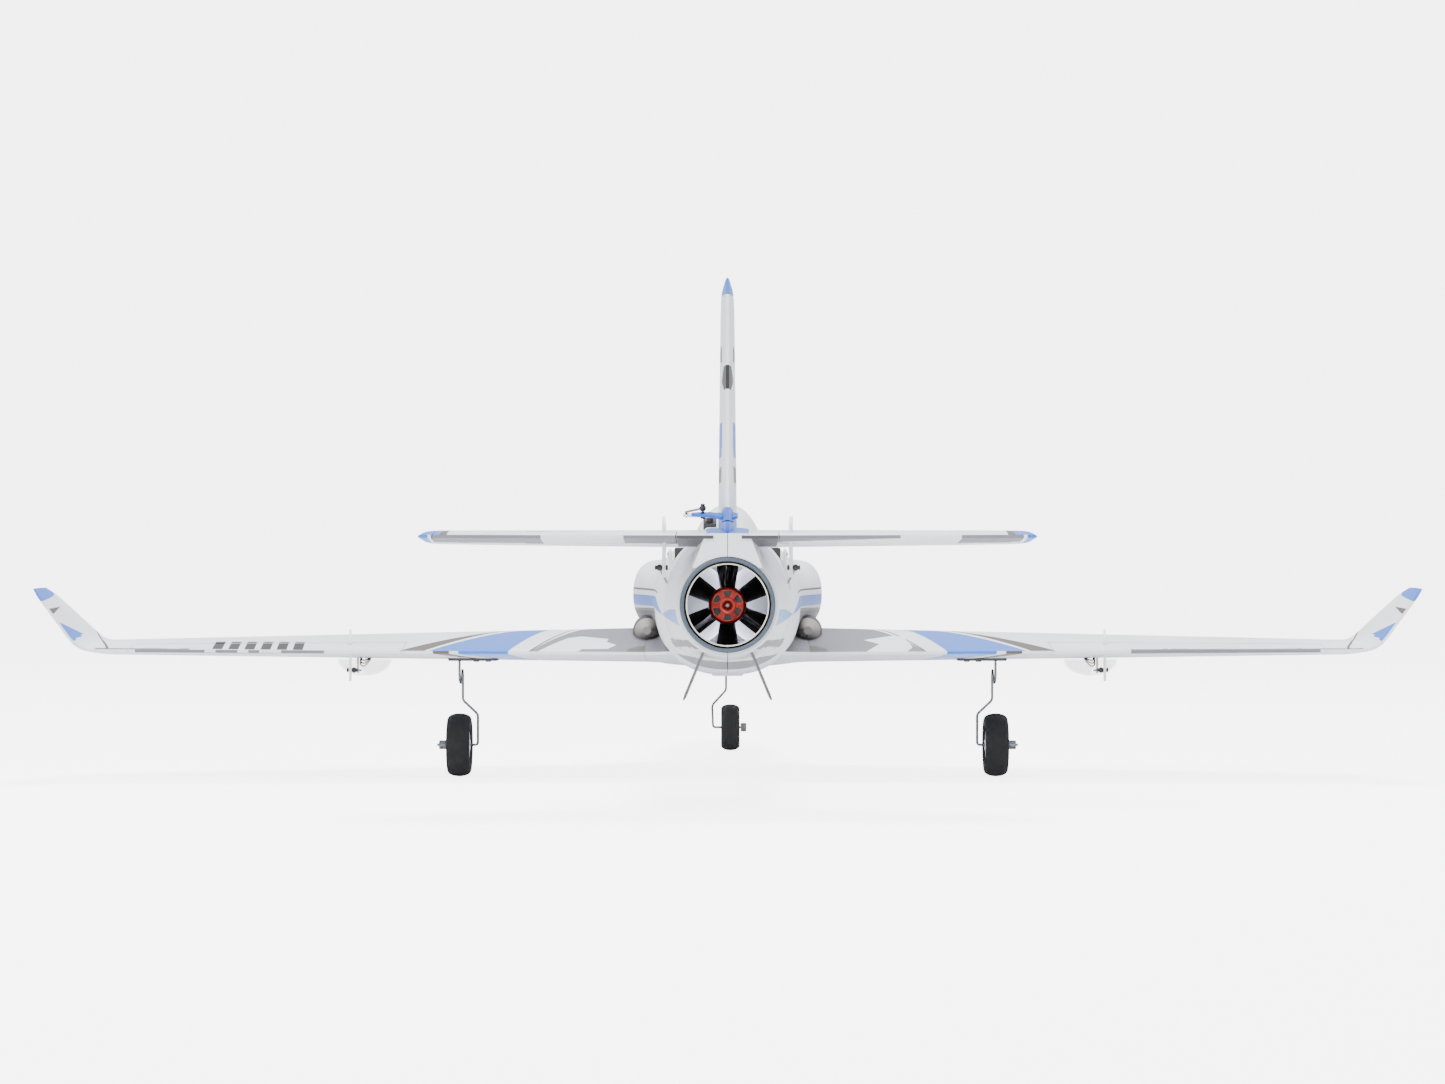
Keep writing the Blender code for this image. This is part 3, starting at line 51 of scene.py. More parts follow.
# ---- sizes shared with the CAD model --------------------------------------------------------------
NOSE_JOINT_Y = 455.0
TAIL_FACE_Y = -531.0
BODY_STATIONS = [
    (-531.0, 32.4, 167.2, 102.2, 134.6, 2.0), (-480.0, 36.5, 176.0, 99.5, 134.0, 2.1),
    (-400.0, 42.0, 182.5, 94.5, 133.5, 2.2), (-300.0, 48.0, 184.5, 89.0, 133.0, 2.25),
    (-200.0, 52.5, 186.0, 84.0, 132.5, 2.3), (-100.0, 55.0, 187.5, 79.5, 132.0, 2.35),
    (0.0, 55.0, 188.5, 76.0, 131.5, 2.4), (60.0, 54.5, 188.5, 75.0, 131.0, 2.4),
    (150.0, 52.5, 187.0, 72.5, 130.0, 2.4), (250.0, 49.5, 183.0, 69.5, 128.0, 2.35),
    (350.0, 45.0, 175.0, 69.0, 125.0, 2.3), (400.0, 41.0, 169.0, 73.0, 123.0, 2.25),
    (455.0, 35.0, 160.0, 80.5, 121.0, 2.2), (505.0, 26.5, 149.0, 90.0, 119.5, 2.1),
    (545.0, 16.5, 136.0, 101.5, 118.5, 2.05), (564.0, 8.5, 126.5, 109.5, 118.0, 2.0),
    (570.0, 1.5, 119.5, 116.5, 118.0, 2.0),
]
HUMP_STATIONS = [
    (-118.0, 6.0, 178.0), (-110.0, 11.0, 187.0), (-30.0, 20.0, 195.0), (60.0, 27.0, 204.0),
    (150.0, 31.0, 212.5), (210.0, 32.0, 215.5), (250.0, 31.5, 214.5), (300.0, 28.5, 208.0),
    (345.0, 22.5, 196.0), (380.0, 14.0, 181.0), (398.0, 6.0, 172.0), (404.0, 2.0, 163.0),
]
CHEEK_STATIONS = [
    (-140.0, 28.0, 18.0, 155.0, 117.0), (-70.0, 39.0, 20.0, 161.0, 114.0),
    (0.0, 50.0, 22.0, 165.5, 112.5), (60.0, 56.0, 20.0, 167.0, 112.5),
    (120.0, 58.0, 17.0, 166.0, 116.0), (138.0, 58.0, 15.5, 164.0, 119.0),
]
TAIL_BLOCK_STATIONS = [
    (-547.0, 13.5, 22.0, 180.0), (-470.0, 14.5, 26.0, 184.5), (-385.0, 14.5, 27.0, 186.0),
    (-340.0, 10.0, 20.0, 179.0),
]
HATCH_Y = (146.0, 404.0)
HATCH_FLOOR_Z = 160.0
CANOPY_Y = (214.0, 388.0)
CANOPY_SILL_Z = 185.5
BAY_Y = (158.0, 436.0)
DUCT_STATIONS = [
    (145.0, 58.5, 10.5, 158.0, 125.0), (100.0, 58.5, 12.0, 159.0, 122.5),
    (40.0, 48.0, 16.0, 160.0, 113.0), (-40.0, 28.0, 22.0, 162.0, 106.0),
    (-100.0, 20.0, 18.0, 164.0, 102.0), (-136.0, 18.0, 16.5, 160.0, 106.0),
]
FAN_Z = 132.3
NOZZLE_Z = 134.6
FAN_FRONT_Y, FAN_REAR_Y = -150.0, -214.0
SHROUD_OUTER_R, SHROUD_INNER_R = 37.0, 35.3
HUB_R, SHAFT_R, BELL_R, ROTOR_HUB_R = 14.0, 2.0, 13.1, 13.6
BELL_Y = (-229.0, -186.0)
BLADES = 6
BLADE_TIP_R = 34.6
TUBE_FRONT_Y, TUBE_REAR_Y = -214.6, -546.0
TUBE_FRONT_R, TUBE_REAR_R = 36.9, 26.4
RING_OUTER_R, RING_INNER_R = 30.4, 27.6
RING_Y = (-548.0, -531.3)
WING_STATIONS = [
    (62.0, 96.0, 0.0, 112.7, -149.7, 16.6, 9.8), (468.0, 98.4, 1.0, -25.0, -165.0, 6.3, 4.4),
    (476.5, 99.3, 12.0, -33.0, -167.0, 5.8, 4.1), (483.0, 102.8, 36.0, -44.0, -170.0, 5.2, 3.7),
    (488.0, 109.2, 52.0, -57.0, -174.0, 4.6, 3.4), (493.0, 117.2, 56.0, -74.0, -178.0, 4.1, 3.1),
    (500.0, 128.2, 57.0, -99.0, -184.0, 3.6, 2.8), (506.5, 138.5, 57.0, -123.0, -189.0, 3.0, 2.4),
    (509.8, 144.2, 57.0, -143.0, -191.0, 1.6, 1.4),
]
STUB_STATIONS = [
    (22.0, 97.0, 0.0, 128.0, -168.0, 33.0, 15.0), (46.0, 96.4, 0.0, 119.0, -157.0, 24.0, 12.0),
    (54.0, 96.1, 0.0, 115.0, -152.0, 18.6, 10.4), (61.7, 96.0, 0.0, 112.7, -149.7, 16.6, 9.8),
]
AILERON_X, AILERON_CHORD = (243.0, 445.0), (44.0, 36.0)
STAB_STATIONS = [
    (9.0, 177.6, 0.0, -400.0, -548.0, 5.6, 5.4), (150.0, 177.8, 0.0, -455.0, -556.5, 4.6, 4.4),
    (186.0, 177.9, 0.0, -472.0, -558.6, 4.2, 4.0), (193.0, 178.0, 0.0, -482.0, -557.0, 3.4, 3.2),
    (196.0, 178.0, 0.0, -500.0, -549.0, 1.4, 1.3),
]
ELEVATOR_X, ELEVATOR_CHORD = (33.0, 186.0), (38.0, 32.0)
FIN_STATIONS = [
    (178.0, -318.0, -538.0, 6.2), (187.0, -332.0, -540.0, 6.0), (320.0, -470.0, -566.0, 4.2),
    (333.0, -486.0, -569.0, 3.6), (340.0, -512.0, -570.0, 1.6),
]
RUDDER_Z, RUDDER_CHORD = (188.5, 330.0), (43.0, 34.0)
AILERON_HORN_X, AILERON_ARM, AILERON_ROD = 285.0, 15.5, (-1.9, 50.0, -1.5)
ELEVATOR_HORN_X, ELEVATOR_ARM, ELEVATOR_ROD = 41.0, 19.3, (-3.2, 146.0, -9.5)
RUDDER_ARM, RUDDER_ROD, RUDDER_HORN_RISE = 16.0, (-12.0, 122.0, 0.5), 4.5
MAIN_X, MAIN_Y, MAIN_WHEEL_R, MAIN_WHEEL_WIDTH = 206.0, -70.0, 24.2, 18.0
NOSE_GEAR_Y, NOSE_WHEEL_X, NOSE_WHEEL_R, NOSE_WHEEL_WIDTH = 350.0, 2.5, 20.45, 16.5
NOSE_LEG_X = -1.3


# ==== materials ====================================================================================
def linear(red, green, blue):
    """A linear colour from 8-bit sRGB numbers."""
    return tuple(((v / 255 + 0.055) / 1.055) ** 2.4 if v > 10 else v / 3295 for v in (red, green, blue))


class Finish:
    """A procedural material that is built up from colour variation, roughness variation and bump."""

    def __init__(self, name, colour, roughness):
        self.material = bpy.data.materials.new(name)
        self.material.use_nodes = True
        self.tree = self.material.node_tree
        self.shader = self.tree.nodes["Principled BSDF"]
        self.place = self.node("ShaderNodeTexCoord").outputs["Object"]
        self.colour = colour
        self.roughness = roughness
        self.height = []

    def node(self, kind, **values):
        item = self.tree.nodes.new(kind)
        for key, value in values.items():
            setattr(item, key, value)
        return item

    def link(self, a, b):
        self.tree.links.new(a, b)

    def noise(self, scale, detail=3.0, stretch=None):
        """A noise value between 0 and 1 over the object's own coordinates."""
        item = self.node("ShaderNodeTexNoise")
        item.inputs["Scale"].default_value = scale
        item.inputs["Detail"].default_value = detail
        place = self.place
        if stretch:
            mapping = self.node("ShaderNodeMapping")
            mapping.inputs["Scale"].default_value = stretch
            self.link(place, mapping.inputs["Vector"])
            place = mapping.outputs["Vector"]
        self.link(place, item.inputs["Vector"])
        return item.outputs["Fac"]

    def beads(self, scale):
        """Distance to the nearest edge between moulded foam beads, and each bead's own value."""
        edge = self.node("ShaderNodeTexVoronoi", feature="DISTANCE_TO_EDGE")
        cell = self.node("ShaderNodeTexVoronoi", feature="F1")
        for item in (edge, cell):
            item.inputs["Scale"].default_value = scale
            self.link(self.place, item.inputs["Vector"])
        return edge.outputs["Distance"], cell.outputs["Color"]

    def mixed(self, value, low, high, out_low, out_high):
        """A value mapped from one range to another."""
        item = self.node("ShaderNodeMapRange")
        for key, number in (("From Min", low), ("From Max", high), ("To Min", out_low), ("To Max", out_high)):
            item.inputs[key].default_value = number
        self.link(value, item.inputs["Value"])
        return item.outputs["Result"]

    def tint(self, share, first, second):
        item = self.node("ShaderNodeMix", data_type="RGBA")
        self.link(share, item.inputs["Factor"])
        for socket, value in ((item.inputs[6], first), (item.inputs[7], second)):
            if isinstance(value, tuple):
                socket.default_value = (*value[:3], 1.0)
            else:
                self.link(value, socket)
        return item.outputs[2]

    def paint(self, result):
        self.link(result, self.shader.inputs["Base Color"])

    def rough(self, value, spread):
        self.link(self.mixed(value, 0.3, 0.7, self.roughness - spread, self.roughness + spread),
                  self.shader.inputs["Roughness"])

    def bump(self, value, strength, distance):
        item = self.node("ShaderNodeBump")
        item.inputs["Strength"].default_value = strength
        item.inputs["Distance"].default_value = distance
        self.link(value, item.inputs["Height"])
        if self.height:
            self.link(self.height[-1], item.inputs["Normal"])
        self.height.append(item.outputs["Normal"])
        self.link(item.outputs["Normal"], self.shader.inputs["Normal"])

    def set(self, **values):
        for key, value in values.items():
            self.shader.inputs[key.replace("_", " ").title()].default_value = value
        return self


def shade(colour, factor):
    return tuple(min(1.0, v * factor) for v in colour)


def foam(name, colour, roughness=0.5, bead=0.35, change=0.06, coat=0.0):
    """Moulded foam with its faint beads, painted or bare."""
    item = Finish(name, colour, roughness)
    edge, cell = item.beads(430.0)
    broad = item.noise(14.0, 4.0)
    fine = item.noise(900.0, 2.0)
    base = item.tint(item.mixed(broad, 0.35, 0.65, 0.0, 1.0),
                     shade(colour, 1 - change), shade(colour, 1 + change / 3))
    grey = item.node("ShaderNodeSeparateColor")
    item.link(cell, grey.inputs["Color"])
    item.paint(item.tint(item.mixed(grey.outputs[0], 0.0, 1.0, 0.0, 0.35), base, shade(colour, 1 - change * 1.4)))
    item.rough(broad, 0.05)
    item.bump(item.mixed(edge, 0.0, 0.09, 0.0, 1.0), bead, 0.00012)
    item.bump(fine, 0.12, 0.0001)
    item.set(coat_weight=coat, coat_roughness=0.25)
    return item.material


def plastic(name, colour, roughness=0.4, grain=0.15, scale=1400.0, metallic=0.0, change=0.08, coat=0.0):
    """Moulded plastic or painted metal with a fine grain and slightly uneven colour."""
    item = Finish(name, colour, roughness)
    broad = item.noise(60.0, 3.0)
    item.paint(item.tint(item.mixed(broad, 0.3, 0.7, 0.0, 1.0),
               shade(colour, 1 - change), shade(colour, 1 + change)))
    item.rough(item.noise(220.0, 3.0), 0.06)
    item.bump(item.noise(scale, 2.0), grain, 0.00008)
    item.set(metallic=metallic, coat_weight=coat, coat_roughness=0.1)
    return item.material


def clear(name, colour, alpha, roughness=0.06):
    """Thin clear moulded plastic with faint haze."""
    item = Finish(name, colour, roughness)
    haze = item.noise(90.0, 3.0)
    item.paint(item.tint(item.mixed(haze, 0.3, 0.7, 0.0, 1.0), shade(colour, 0.93), colour))
    item.rough(haze, 0.03)
    item.bump(item.noise(35.0, 2.0), 0.05, 0.0004)
    item.set(alpha=alpha, coat_weight=0.4, coat_roughness=0.05)
    return item.material


def rubber(name, colour):
    """Matt foam rubber with open pores."""
    item = Finish(name, colour, 0.88)
    edge, _ = item.beads(1500.0)
    broad = item.noise(120.0, 4.0)
    item.paint(item.tint(item.mixed(broad, 0.3, 0.7, 0.0, 1.0), shade(colour, 0.7), shade(colour, 1.7)))
    item.rough(broad, 0.06)
    item.bump(item.mixed(edge, 0.0, 0.12, 0.0, 1.0), 0.5, 0.00015)
    item.bump(item.noise(260.0, 3.0), 0.25, 0.0003)
    return item.material


WHITE = linear(238, 240, 247)
BLUE = linear(40, 112, 218)
SKY = linear(104, 156, 230)
GREY = linear(118, 120, 128)
DARK = linear(62, 62, 66)
STONE = linear(88, 82, 78)
INK = linear(16, 16, 18)

PAINT = {
    "white": foam("foam_white", WHITE, 0.46),
    "blue": foam("foam_blue", BLUE, 0.38, 0.25, 0.05, 0.15),
    "sky": foam("foam_sky", SKY, 0.4, 0.25, 0.05, 0.1),
    "grey": foam("foam_grey", GREY, 0.45, 0.3, 0.14),
    "dark": foam("foam_dark_grey", DARK, 0.45, 0.3, 0.14),
    "stone": foam("foam_stone", STONE, 0.45, 0.3, 0.16),
    "ink": foam("foam_ink", INK, 0.42, 0.2, 0.1),
}
PAINT_ORDER = list(PAINT)
FAIRING = foam("foam_fairing", linear(150, 146, 140), 0.45, 0.3, 0.14)
SMOKE = clear("canopy_smoke", (0.022, 0.026, 0.034), 0.86, 0.07)
DOME = clear("dome_clear", (0.9, 0.93, 0.96), 0.2, 0.08)
SLATE = plastic("nozzle_slate", linear(68, 80, 94), 0.42, 0.2)
TUBE = plastic("tube_cream", linear(226, 223, 214), 0.32, 0.1, 500.0, change=0.05, coat=0.1)
CARBON = plastic("carbon_black", (0.018, 0.018, 0.02), 0.34, 0.3, 700.0)
FAN = plastic("fan_black", (0.014, 0.014, 0.016), 0.36, 0.2)
HOUSING = plastic("housing_grey", linear(98, 100, 106), 0.45, 0.2)
RED = plastic("motor_red", linear(200, 26, 6), 0.34, 0.1, 2200.0, metallic=0.35, coat=0.2)
STEEL = plastic("wire_steel", linear(112, 114, 118), 0.34, 0.15, 2600.0, metallic=1.0)
SCREW_STEEL = plastic("screw_steel", linear(120, 122, 126), 0.34, 0.2, 2600.0, metallic=1.0)
HORN_WHITE = plastic("horn_white", linear(234, 237, 244), 0.42, 0.12)
HORN_BLUE = plastic("horn_blue", linear(18, 96, 206), 0.4, 0.12)
BLACK = plastic("part_black", (0.016, 0.016, 0.018), 0.42, 0.25)
HUB_WHITE = plastic("hub_white", linear(228, 230, 234), 0.4, 0.15)
MOUNT_GREY = plastic("mount_grey", linear(52, 54, 58), 0.48, 0.3)
TYRE = rubber("tyre_foam", (0.008, 0.008, 0.0085))
BATTERY = plastic("battery_wrap", linear(34, 60, 150), 0.3, 0.1, 300.0, coat=0.4)
RECEIVER = plastic("receiver_red", linear(150, 38, 28), 0.42, 0.2)
VENTRAL = plastic("ventral_grey", linear(72, 74, 82), 0.45, 0.2)
WIRE_RED = plastic("wire_red", linear(190, 30, 24), 0.45, 0.1)


# ==== building blocks ==============================================================================
def add_object(name, bm):
    """A mesh object in metres from a bmesh in millimetres, with its faces outwards."""
    bmesh.ops.recalc_face_normals(bm, faces=bm.faces)
    bmesh.ops.scale(bm, vec=(MM, MM, MM), verts=bm.verts)
    mesh = bpy.data.meshes.new(name)
    bm.to_mesh(mesh)
    bm.free()
    item = bpy.data.objects.new(name, mesh)
    bpy.context.scene.collection.objects.link(item)
    return item


def loft(name, rings, caps=True):
    """A solid through rings of points."""
    bm = bmesh.new()
    loops = [[bm.verts.new(point) for point in ring] for ring in rings]
    count = len(loops[0])
    for near, far in zip(loops, loops[1:]):
        for i in range(count):
            j = (i + 1) % count
            bm.faces.new((near[i], near[j], far[j], far[i]))
    if caps:
        bm.faces.new(loops[0])
        bm.faces.new(list(reversed(loops[-1])))
        bmesh.ops.triangulate(bm, faces=[face for face in bm.faces if len(face.verts) > 4])
    return add_object(name, bm)


def box(name, low, high, bevel=0.0, segments=3):
    bm = bmesh.new()
    bmesh.ops.create_cube(bm, size=1.0)
    for vert in bm.verts:
        for k in range(3):
            vert.co[k] = low[k] if vert.co[k] < 0 else high[k]
    if bevel:
        bmesh.ops.bevel(bm, geom=bm.edges, offset=bevel, segments=segments, affect="EDGES", profile=0.5)
    return add_object(name, bm)


def turned(name, profile, axis, centre, segments):
    """A ring or disc: profile is (radius, distance along axis), turned round axis."""
    across, up = (1, 2) if axis == 0 else ((0, 2) if axis == 1 else (0, 1))
    bm = bmesh.new()
    loops = []
    for k in range(segments):
        angle = math.tau * k / segments
        ring = []
        for radius, along in profile:
            point = Vector(centre)
            point[axis] += along
            point[across] += radius * math.sin(angle)
            point[up] -= radius * math.cos(angle)
            ring.append(bm.verts.new(point))
        loops.append(ring)
    for near, far in zip(loops, loops[1:] + loops[:1]):
        for i in range(len(profile)):
            j = (i + 1) % len(profile)
            bm.faces.new((near[i], near[j], far[j], far[i]))
    bmesh.ops.remove_doubles(bm, verts=bm.verts, dist=0.0005)
    return add_object(name, bm)


def rod_between(name, start, end, radius, segments=16, bevel=0.0):
    start, end = Vector(start), Vector(end)
    bm = bmesh.new()
    bmesh.ops.create_cone(bm, cap_ends=True, segments=segments, radius1=radius, radius2=radius,
                          depth=(end - start).length)
    if bevel:
        rims = [edge for edge in bm.edges if any(len(face.verts) > 4 for face in edge.link_faces)]
        bmesh.ops.bevel(bm, geom=rims, offset=bevel, segments=2, affect="EDGES", profile=0.5)
    turn = (end - start).to_track_quat("Z", "Y").to_matrix().to_4x4()
    bm.transform(Matrix.Translation((start + end) / 2) @ turn)
    return add_object(name, bm)


def curved(points, steps):
    """Points along a smooth curve through the given ones."""
    points = [Vector(point) for point in points]
    rows = []
    for i in range(len(points) - 1):
        a = points[max(i - 1, 0)]
        b, c = points[i], points[i + 1]
        d = points[min(i + 2, len(points) - 1)]
        for k in range(steps):
            t = k / steps
            rows.append(0.5 * (2 * b + (c - a) * t + (2 * a - 5 * b + 4 * c - d) * t * t
                               + (3 * b - a - 3 * c + d) * t**3))
    rows.append(points[-1])
    return rows


def wire(name, points, radius, sides=14):
    """A bent wire of round section through the points."""
    points = [Vector(point) for point in points]
    rings = []
    side = None
    for i, point in enumerate(points):
        ahead = points[min(i + 1, len(points) - 1)] - points[max(i - 1, 0)]
        ahead.normalize()
        if side is None:
            side = ahead.orthogonal().normalized()
        side = (side - ahead * side.dot(ahead)).normalized()
        over = ahead.cross(side)
        rings.append([point + radius * (math.cos(math.tau * k / sides) * side
                                        + math.sin(math.tau * k / sides) * over) for k in range(sides)])
    return loft(name, rings)


def plate(name, outline, place, thickness, bevel=0.0):
    """A flat plate: outline is (forward, up) points, and place(along, forward, up) puts them."""
    item = loft(name, [[place(s * thickness / 2, a, b) for a, b in outline] for s in (-1, 1)])
    if bevel:
        soften(item, bevel)
    return item


def soften(item, width, angle=40.0, segments=2):
    """Round a piece's sharp edges in its mesh."""
    bm = bmesh.new()
    bm.from_mesh(item.data)
    sharp = [edge for edge in bm.edges
             if len(edge.link_faces) == 2 and edge.calc_face_angle(0.0) > math.radians(angle)]
    bmesh.ops.bevel(bm, geom=sharp, offset=width * MM, segments=segments, affect="EDGES", profile=0.5,
                    clamp_overlap=True)
    bm.to_mesh(item.data)
    bm.free()
    return item


def combine(item, tool, operation):
    """Apply a Boolean of tool to item and remove the tool."""
    cut = item.modifiers.new("cut", "BOOLEAN")
    cut.operation = operation
    cut.solver = "EXACT"
    cut.object = tool
    bpy.context.view_layer.update()
    graph = bpy.context.evaluated_depsgraph_get()
    mesh = bpy.data.meshes.new_from_object(item.evaluated_get(graph))
    item.modifiers.clear()
    old = item.data
    item.data = mesh
    bpy.data.meshes.remove(old)
    bpy.data.objects.remove(tool)
    return item


def cut_away(item, *tools):
    for tool in tools:
        combine(item, tool, "DIFFERENCE")
    return item


def union(item, *tools):
    for tool in tools:
        combine(item, tool, "UNION")
    return item


def gathered(items):
    """Several objects as one, without a Boolean."""
    bm = bmesh.new()
    for item in items:
        bm.from_mesh(item.data)
    first = items[0]
    bm.to_mesh(first.data)
    bm.free()
    for item in items[1:]:
        bpy.data.objects.remove(item)
    return first


def copy_of(item, name):
    twin = bpy.data.objects.new(name, item.data.copy())
    bpy.context.scene.collection.objects.link(twin)
    return twin


def finish(item, material, body, nodes=(), smooth=32.0):
    """Shade a piece, and place it in the frame: its body and the CAD nodes it stands for."""
    bm = bmesh.new()
    bm.from_mesh(item.data)
    bmesh.ops.remove_doubles(bm, verts=bm.verts, dist=1e-6)
    bmesh.ops.dissolve_degenerate(bm, dist=1e-6, edges=bm.edges)
    bm.to_mesh(item.data)
    bm.free()
    if material is not None:
        item.data.materials.clear()
        item.data.materials.append(material)
    item.data.shade_smooth()
    item.data.set_sharp_from_angle(angle=math.radians(smooth))
    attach(item, body)
    if nodes:
        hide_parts(*nodes)
    return item


# ==== shapes =======================================================================================
def mixed(stations, at):
    """The station values at a distance, straight between the listed ones."""
    rows = sorted(stations, key=lambda row: row[0])
    for near, far in zip(rows, rows[1:]):
        if at <= far[0]:
            break
    share = (at - near[0]) / (far[0] - near[0])
    return [a + (b - a) * share for a, b in zip(near, far)]


def flowing(stations, at):
    """The station values at a distance, on smooth curves that don't overshoot."""
    rows = sorted(stations, key=lambda row: row[0])
    i = 0
    while i < len(rows) - 2 and at > rows[i + 1][0]:
        i += 1
    near, far = rows[i], rows[i + 1]
    step = far[0] - near[0]
    t = min(max((at - near[0]) / step, 0.0), 1.0)
    result = [at]
    for k in range(1, len(near)):
        def slope(j):
            return (rows[j + 1][k] - rows[j][k]) / (rows[j + 1][0] - rows[j][0])

        def tangent(j):
            if j == 0:
                return slope(0)
            if j == len(rows) - 1:
                return slope(j - 1)
            a, b = slope(j - 1), slope(j)
            return 0.0 if a * b <= 0 else 2 * a * b / (a + b)

        m0, m1 = tangent(i) * step, tangent(i + 1) * step
        result.append((2 * t**3 - 3 * t**2 + 1) * near[k] + (t**3 - 2 * t**2 + t) * m0
                      + (3 * t**2 - 2 * t**3) * far[k] + (t**3 - t**2) * m1)
    return result


def foil_shape(c):
    return 10 * (0.2969 * math.sqrt(c) - 0.126 * c - 0.3516 * c**2 + 0.2843 * c**3 - 0.1036 * c**4)


CHORD_POINTS = [0.5 + 0.5 * math.cos(math.pi * k / 26) for k in range(26)]
EDGE_HALF = 1.0


def foil_point(row, c, upper, side=1):
    x, z, cant, lead, trail, up, low = row
    edge = EDGE_HALF * min(1.0, up / 3.0) * c
    lift = up * foil_shape(c) + edge if upper else -(low * foil_shape(c) + edge)
    lean = math.radians(cant)
    return Vector((side * (x - lift * math.sin(lean)), lead + (trail - lead) * c,
                   z + lift * math.cos(lean)))


def foil_ring(row, side=1):
    upper = [foil_point(row, c, True, side) for c in CHORD_POINTS]
    nose = [foil_point(row, 0.0, True, side)]
    lower = [foil_point(row, c, False, side) for c in reversed(CHORD_POINTS)]
    return upper + nose + lower


def skin_z(stations, x, y, upper):
    row = mixed(stations, x)
    return foil_point(row, (y - row[3]) / (row[4] - row[3]), upper)[2]


def panel_rows(stations, straight_to, step, tip_steps):
    """Rows of a panel: straight up to a station, and then curved to the tip."""
    start, end = stations[0][0], stations[-1][0]
    count = round((straight_to - start) / step)
    rows = [mixed(stations, start + (straight_to - start) * k / count) for k in range(count)]
    tail = [mixed(stations, straight_to - 6)] + [row for row in stations if row[0] >= straight_to]
    rows += [flowing(tail, straight_to + (end - straight_to) * k / tip_steps) for k in range(tip_steps + 1)]
    return rows


class Hinge:
    def __init__(self, start, end):
        self.start, self.end = Vector(start), Vector(end)
        self.axis = (self.end - self.start).normalized()
        self.ahead = (Vector((0, 1, 0)) - self.axis * self.axis.y).normalized()
        self.above = self.axis.cross(self.ahead)

    def at_x(self, x):
        return self.start.lerp(self.end, (x - self.start.x) / (self.end.x - self.start.x))

    def place_from(self, centre):
        return lambda along, ahead, above: (
            centre + self.axis * along + self.ahead * ahead + self.above * above)


def panel_hinge(stations, span, chords, side):
    ends = []
    for x, chord in zip(span, chords):
        y = mixed(stations, x)[4] + chord
        z = (skin_z(stations, x, y, True) + skin_z(stations, x, y, False)) / 2
        ends.append(Vector((side * x, y, z)))
    return Hinge(*(ends if side > 0 else reversed(ends)))


def surface_ring(stations, x, hinge_y, side):
    """A control surface's section at x: a round nose on the hinge line, then both skins."""
    row = mixed(stations, x)
    top, bottom = skin_z(stations, x, hinge_y, True), skin_z(stations, x, hinge_y, False)
    radius, middle = (top - bottom) / 2, (top + bottom) / 2
    ring = []
    for k in range(13):
        angle = math.radians(-90 + 15 * k)
        ring.append(Vector((side * x, hinge_y + radius * math.cos(angle), middle + radius * math.sin(angle))))
    shares = [k / 8 for k in range(1, 9)]
    for upper, order in ((True, shares), (False, list(reversed(shares)))):
        for share in order:
            y = hinge_y + (row[4] - hinge_y) * share
            ring.append(Vector((side * x, y, skin_z(stations, x, y, upper))))
    return ring


# ---- fuselage form --------------------------------------------------------------------------------
def superellipse(dx, dz, a, b, power):
    scaled = (np.abs(dx / a) ** power + np.abs(dz / b) ** power) ** (1 / power)
    return (scaled - 1) * np.minimum(a, b)


def smooth_union(a, b, reach):
    h = np.clip(0.5 + 0.5 * (b - a) / reach, 0, 1)
    return b * (1 - h) + a * h - reach * h * (1 - h)


def fuselage_distance(y, x, z):
    """Roughly how far points of the section at y lie outside the foam."""
    _, wide, top, bottom, widest, power = flowing(BODY_STATIONS, y)
    rise = np.where(z > widest, top - widest, widest - bottom)
    result = superellipse(x, z - widest, wide, rise, power)
    if HUMP_STATIONS[0][0] <= y <= HUMP_STATIONS[-1][0]:
        _, half, crown = flowing(HUMP_STATIONS, y)
        rise = np.where(z > 162.0, max(crown - 162.0, 1.0), 12.0)
        result = smooth_union(result, superellipse(x, z - 162.0, half, rise, 2.0), 7.0)
    if CHEEK_STATIONS[0][0] <= y <= CHEEK_STATIONS[-1][0]:
        _, centre, half, crown, base = flowing(CHEEK_STATIONS, y)
        lip = max(0.0, y - 133.0)
        eased = 5.0 - math.sqrt(max(25.0 - lip * lip, 0.0))
        half, tall = half - eased * 0.7, (crown - base) / 2 - eased * 0.7
        result = smooth_union(result,
                              superellipse(np.abs(x) - centre, z - (crown + base) / 2, half, tall, 2.3), 9.0)
    return result


SECTION_POINTS = 160


def fuselage_loft(name, ys):
    """The foam body as one smooth skin, with the hump and cheeks flowing out of it."""
    angles = np.arange(SECTION_POINTS) * math.tau / SECTION_POINTS
    radii = np.arange(98.0, 0.2, -0.6)
    rings = []
    for y in ys:
        middle = flowing(BODY_STATIONS, y)[4]
        c, s = np.cos(angles)[:, None], np.sin(angles)[:, None]
        gaps = fuselage_distance(y, c * radii, middle + s * radii)
        inside = gaps < 0
        first = np.argmax(inside, axis=1)
        first = np.where(inside.any(axis=1), first, len(radii) - 1)
        before = np.maximum(first - 1, 0)
        rows = np.arange(SECTION_POINTS)
        near, far = gaps[rows, first], gaps[rows, before]
        share = np.where(far - near > 1e-9, -near / np.maximum(far - near, 1e-9), 0.0)
        radius = radii[first] + np.clip(share, 0, 1) * (radii[before] - radii[first])
        rings.append([(math.cos(a) * r, y, middle + math.sin(a) * r) for a, r in zip(angles, radius)])
    return loft(name, rings)


def spaced(start, end, step):
    count = max(1, round(abs(end - start) / step))
    return [start + (end - start) * k / count for k in range(count + 1)]


